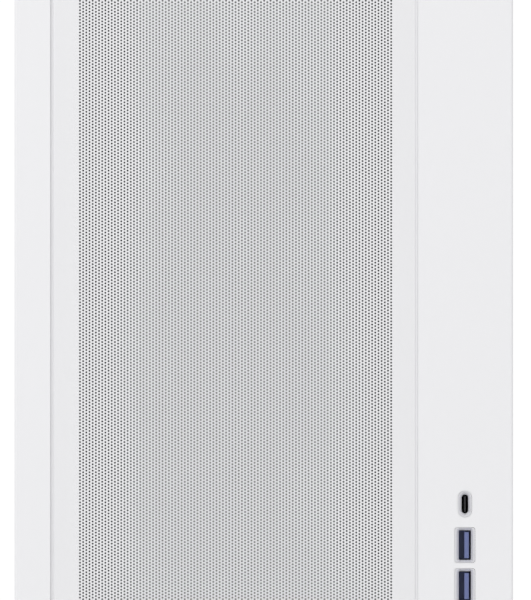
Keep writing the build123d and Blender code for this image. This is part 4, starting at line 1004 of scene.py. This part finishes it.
class TOWER_OT_studio(bpy.types.Operator):
    """Make the pale floor, the soft light and the camera"""

    bl_idname = "tower.studio"
    bl_label = "Studio"

    def execute(self, context):
        _, _, studio = settings()
        scene = context.scene
        scene.view_settings.view_transform = "Standard"
        self.make_camera(scene, studio)
        self.make_sky(scene, studio)
        self.make_key(studio)
        half = 3.2
        corners = [(x * half, y * half, 0.0) for x, y in ((-1, -1), (1, -1), (1, 1), (-1, 1))]
        floor = link_mesh("floor", mesh_of("floor", corners, [(0, 1, 2, 3)]),
                          finish_material("pale_floor", (0.9, 0.9, 0.9), 0.6, tone=0.01, drift_scale=3.0,
                                          grain_scale=300.0, bump=0.05))
        return {"FINISHED"}

    def make_camera(self, scene, studio):
        """A long lens looking square at the front, so that the depth hardly shows."""
        data = bpy.data.cameras.new("camera")
        data.sensor_width = 36.0
        data.lens = data.sensor_width * studio.distance / studio.picture_height
        data.clip_end = 40.0
        camera = bpy.data.objects.new("camera", data)
        camera.location = (studio.aim_x, CAD_BOX[0][1] - studio.distance, studio.aim_z)
        camera.rotation_euler = (math.radians(90), 0.0, 0.0)
        scene.collection.objects.link(camera)
        scene.camera = camera

    def make_sky(self, scene, studio):
        """White behind the case, and a soft light all round, stronger in front and above."""
        world = bpy.data.worlds.new("studio")
        scene.world = world
        world.use_nodes = True
        tree = world.node_tree
        tree.nodes.clear()
        where = place(tree, "ShaderNodeTexCoord")
        slope = place(tree, "ShaderNodeVectorMath", operation="DOT_PRODUCT")
        lean, even, white = (0.02, -0.15, 0.24), 0.79, 1.05
        slope.inputs[1].default_value = [part * studio.sky for part in lean]
        level = place(tree, "ShaderNodeMath", operation="ADD")
        level.inputs[1].default_value = even * studio.sky
        soft = place(tree, "ShaderNodeBackground")
        seen = place(tree, "ShaderNodeBackground", Strength=white)
        seen.inputs["Color"].default_value = (1.0, 1.0, 1.0, 1.0)
        path = place(tree, "ShaderNodeLightPath")
        mix = place(tree, "ShaderNodeMixShader")
        result = place(tree, "ShaderNodeOutputWorld")
        join(tree, (where.outputs["Generated"], slope.inputs[0]),
             (slope.outputs["Value"], level.inputs[0]), (level.outputs[0], soft.inputs["Strength"]),
             (path.outputs["Is Camera Ray"], mix.inputs[0]),
             (soft.outputs[0], mix.inputs[1]), (seen.outputs[0], mix.inputs[2]),
             (mix.outputs[0], result.inputs["Surface"]))

    def make_key(self, studio):
        """One large soft light, high in front on the left."""
        data = bpy.data.lights.new("key", "AREA")
        data.shape = "RECTANGLE"
        data.size, data.size_y = 1.6, 1.2
        data.energy = studio.key
        key = bpy.data.objects.new("key", data)
        key.location = (-1.3, -1.9, 1.7)
        aim = Vector((0.0, 0.0, 0.2)) - key.location
        key.rotation_euler = aim.to_track_quat("-Z", "Y").to_euler()
        bpy.context.scene.collection.objects.link(key)


class TOWER_PT_panel(bpy.types.Panel):
    """Lists the tower's pieces and its studio"""

    bl_idname = "TOWER_PT_panel"
    bl_label = "Desktop tower"
    bl_space_type = "VIEW_3D"
    bl_region_type = "UI"
    bl_category = "Tower"

    def draw(self, context):
        for group in settings():
            box = self.layout.box()
            for name in group.bl_rna.properties.keys():
                if name not in ("rna_type", "name"):
                    box.prop(group, name)
        for operator in OPERATORS:
            self.layout.operator(operator.bl_idname)


OPERATORS = (TOWER_OT_studio, TOWER_OT_finishes, TOWER_OT_front_insert, TOWER_OT_side_panels,
             TOWER_OT_top_cover, TOWER_OT_rear_contacts, TOWER_OT_board_parts)
GROUPS = (("tower_vents", TowerVents), ("tower_colours", TowerColours), ("tower_studio", TowerStudio))


def register():
    for _, group in GROUPS:
        bpy.utils.register_class(group)
    for name, group in GROUPS:
        setattr(bpy.types.Scene, name, bpy.props.PointerProperty(type=group))
    for kind in (*OPERATORS, TOWER_PT_panel):
        bpy.utils.register_class(kind)


def unregister():
    for kind in reversed((*OPERATORS, TOWER_PT_panel)):
        bpy.utils.unregister_class(kind)
    for name, group in reversed(GROUPS):
        delattr(bpy.types.Scene, name)
        bpy.utils.unregister_class(group)


def main():
    """Make everything in order."""
    register()
    bpy.ops.tower.studio()
    bpy.ops.tower.finishes()
    bpy.ops.tower.front_insert()
    bpy.ops.tower.side_panels()
    bpy.ops.tower.top_cover()
    bpy.ops.tower.rear_contacts()
    bpy.ops.tower.board_parts()


if __name__ == "__main__":
    main()
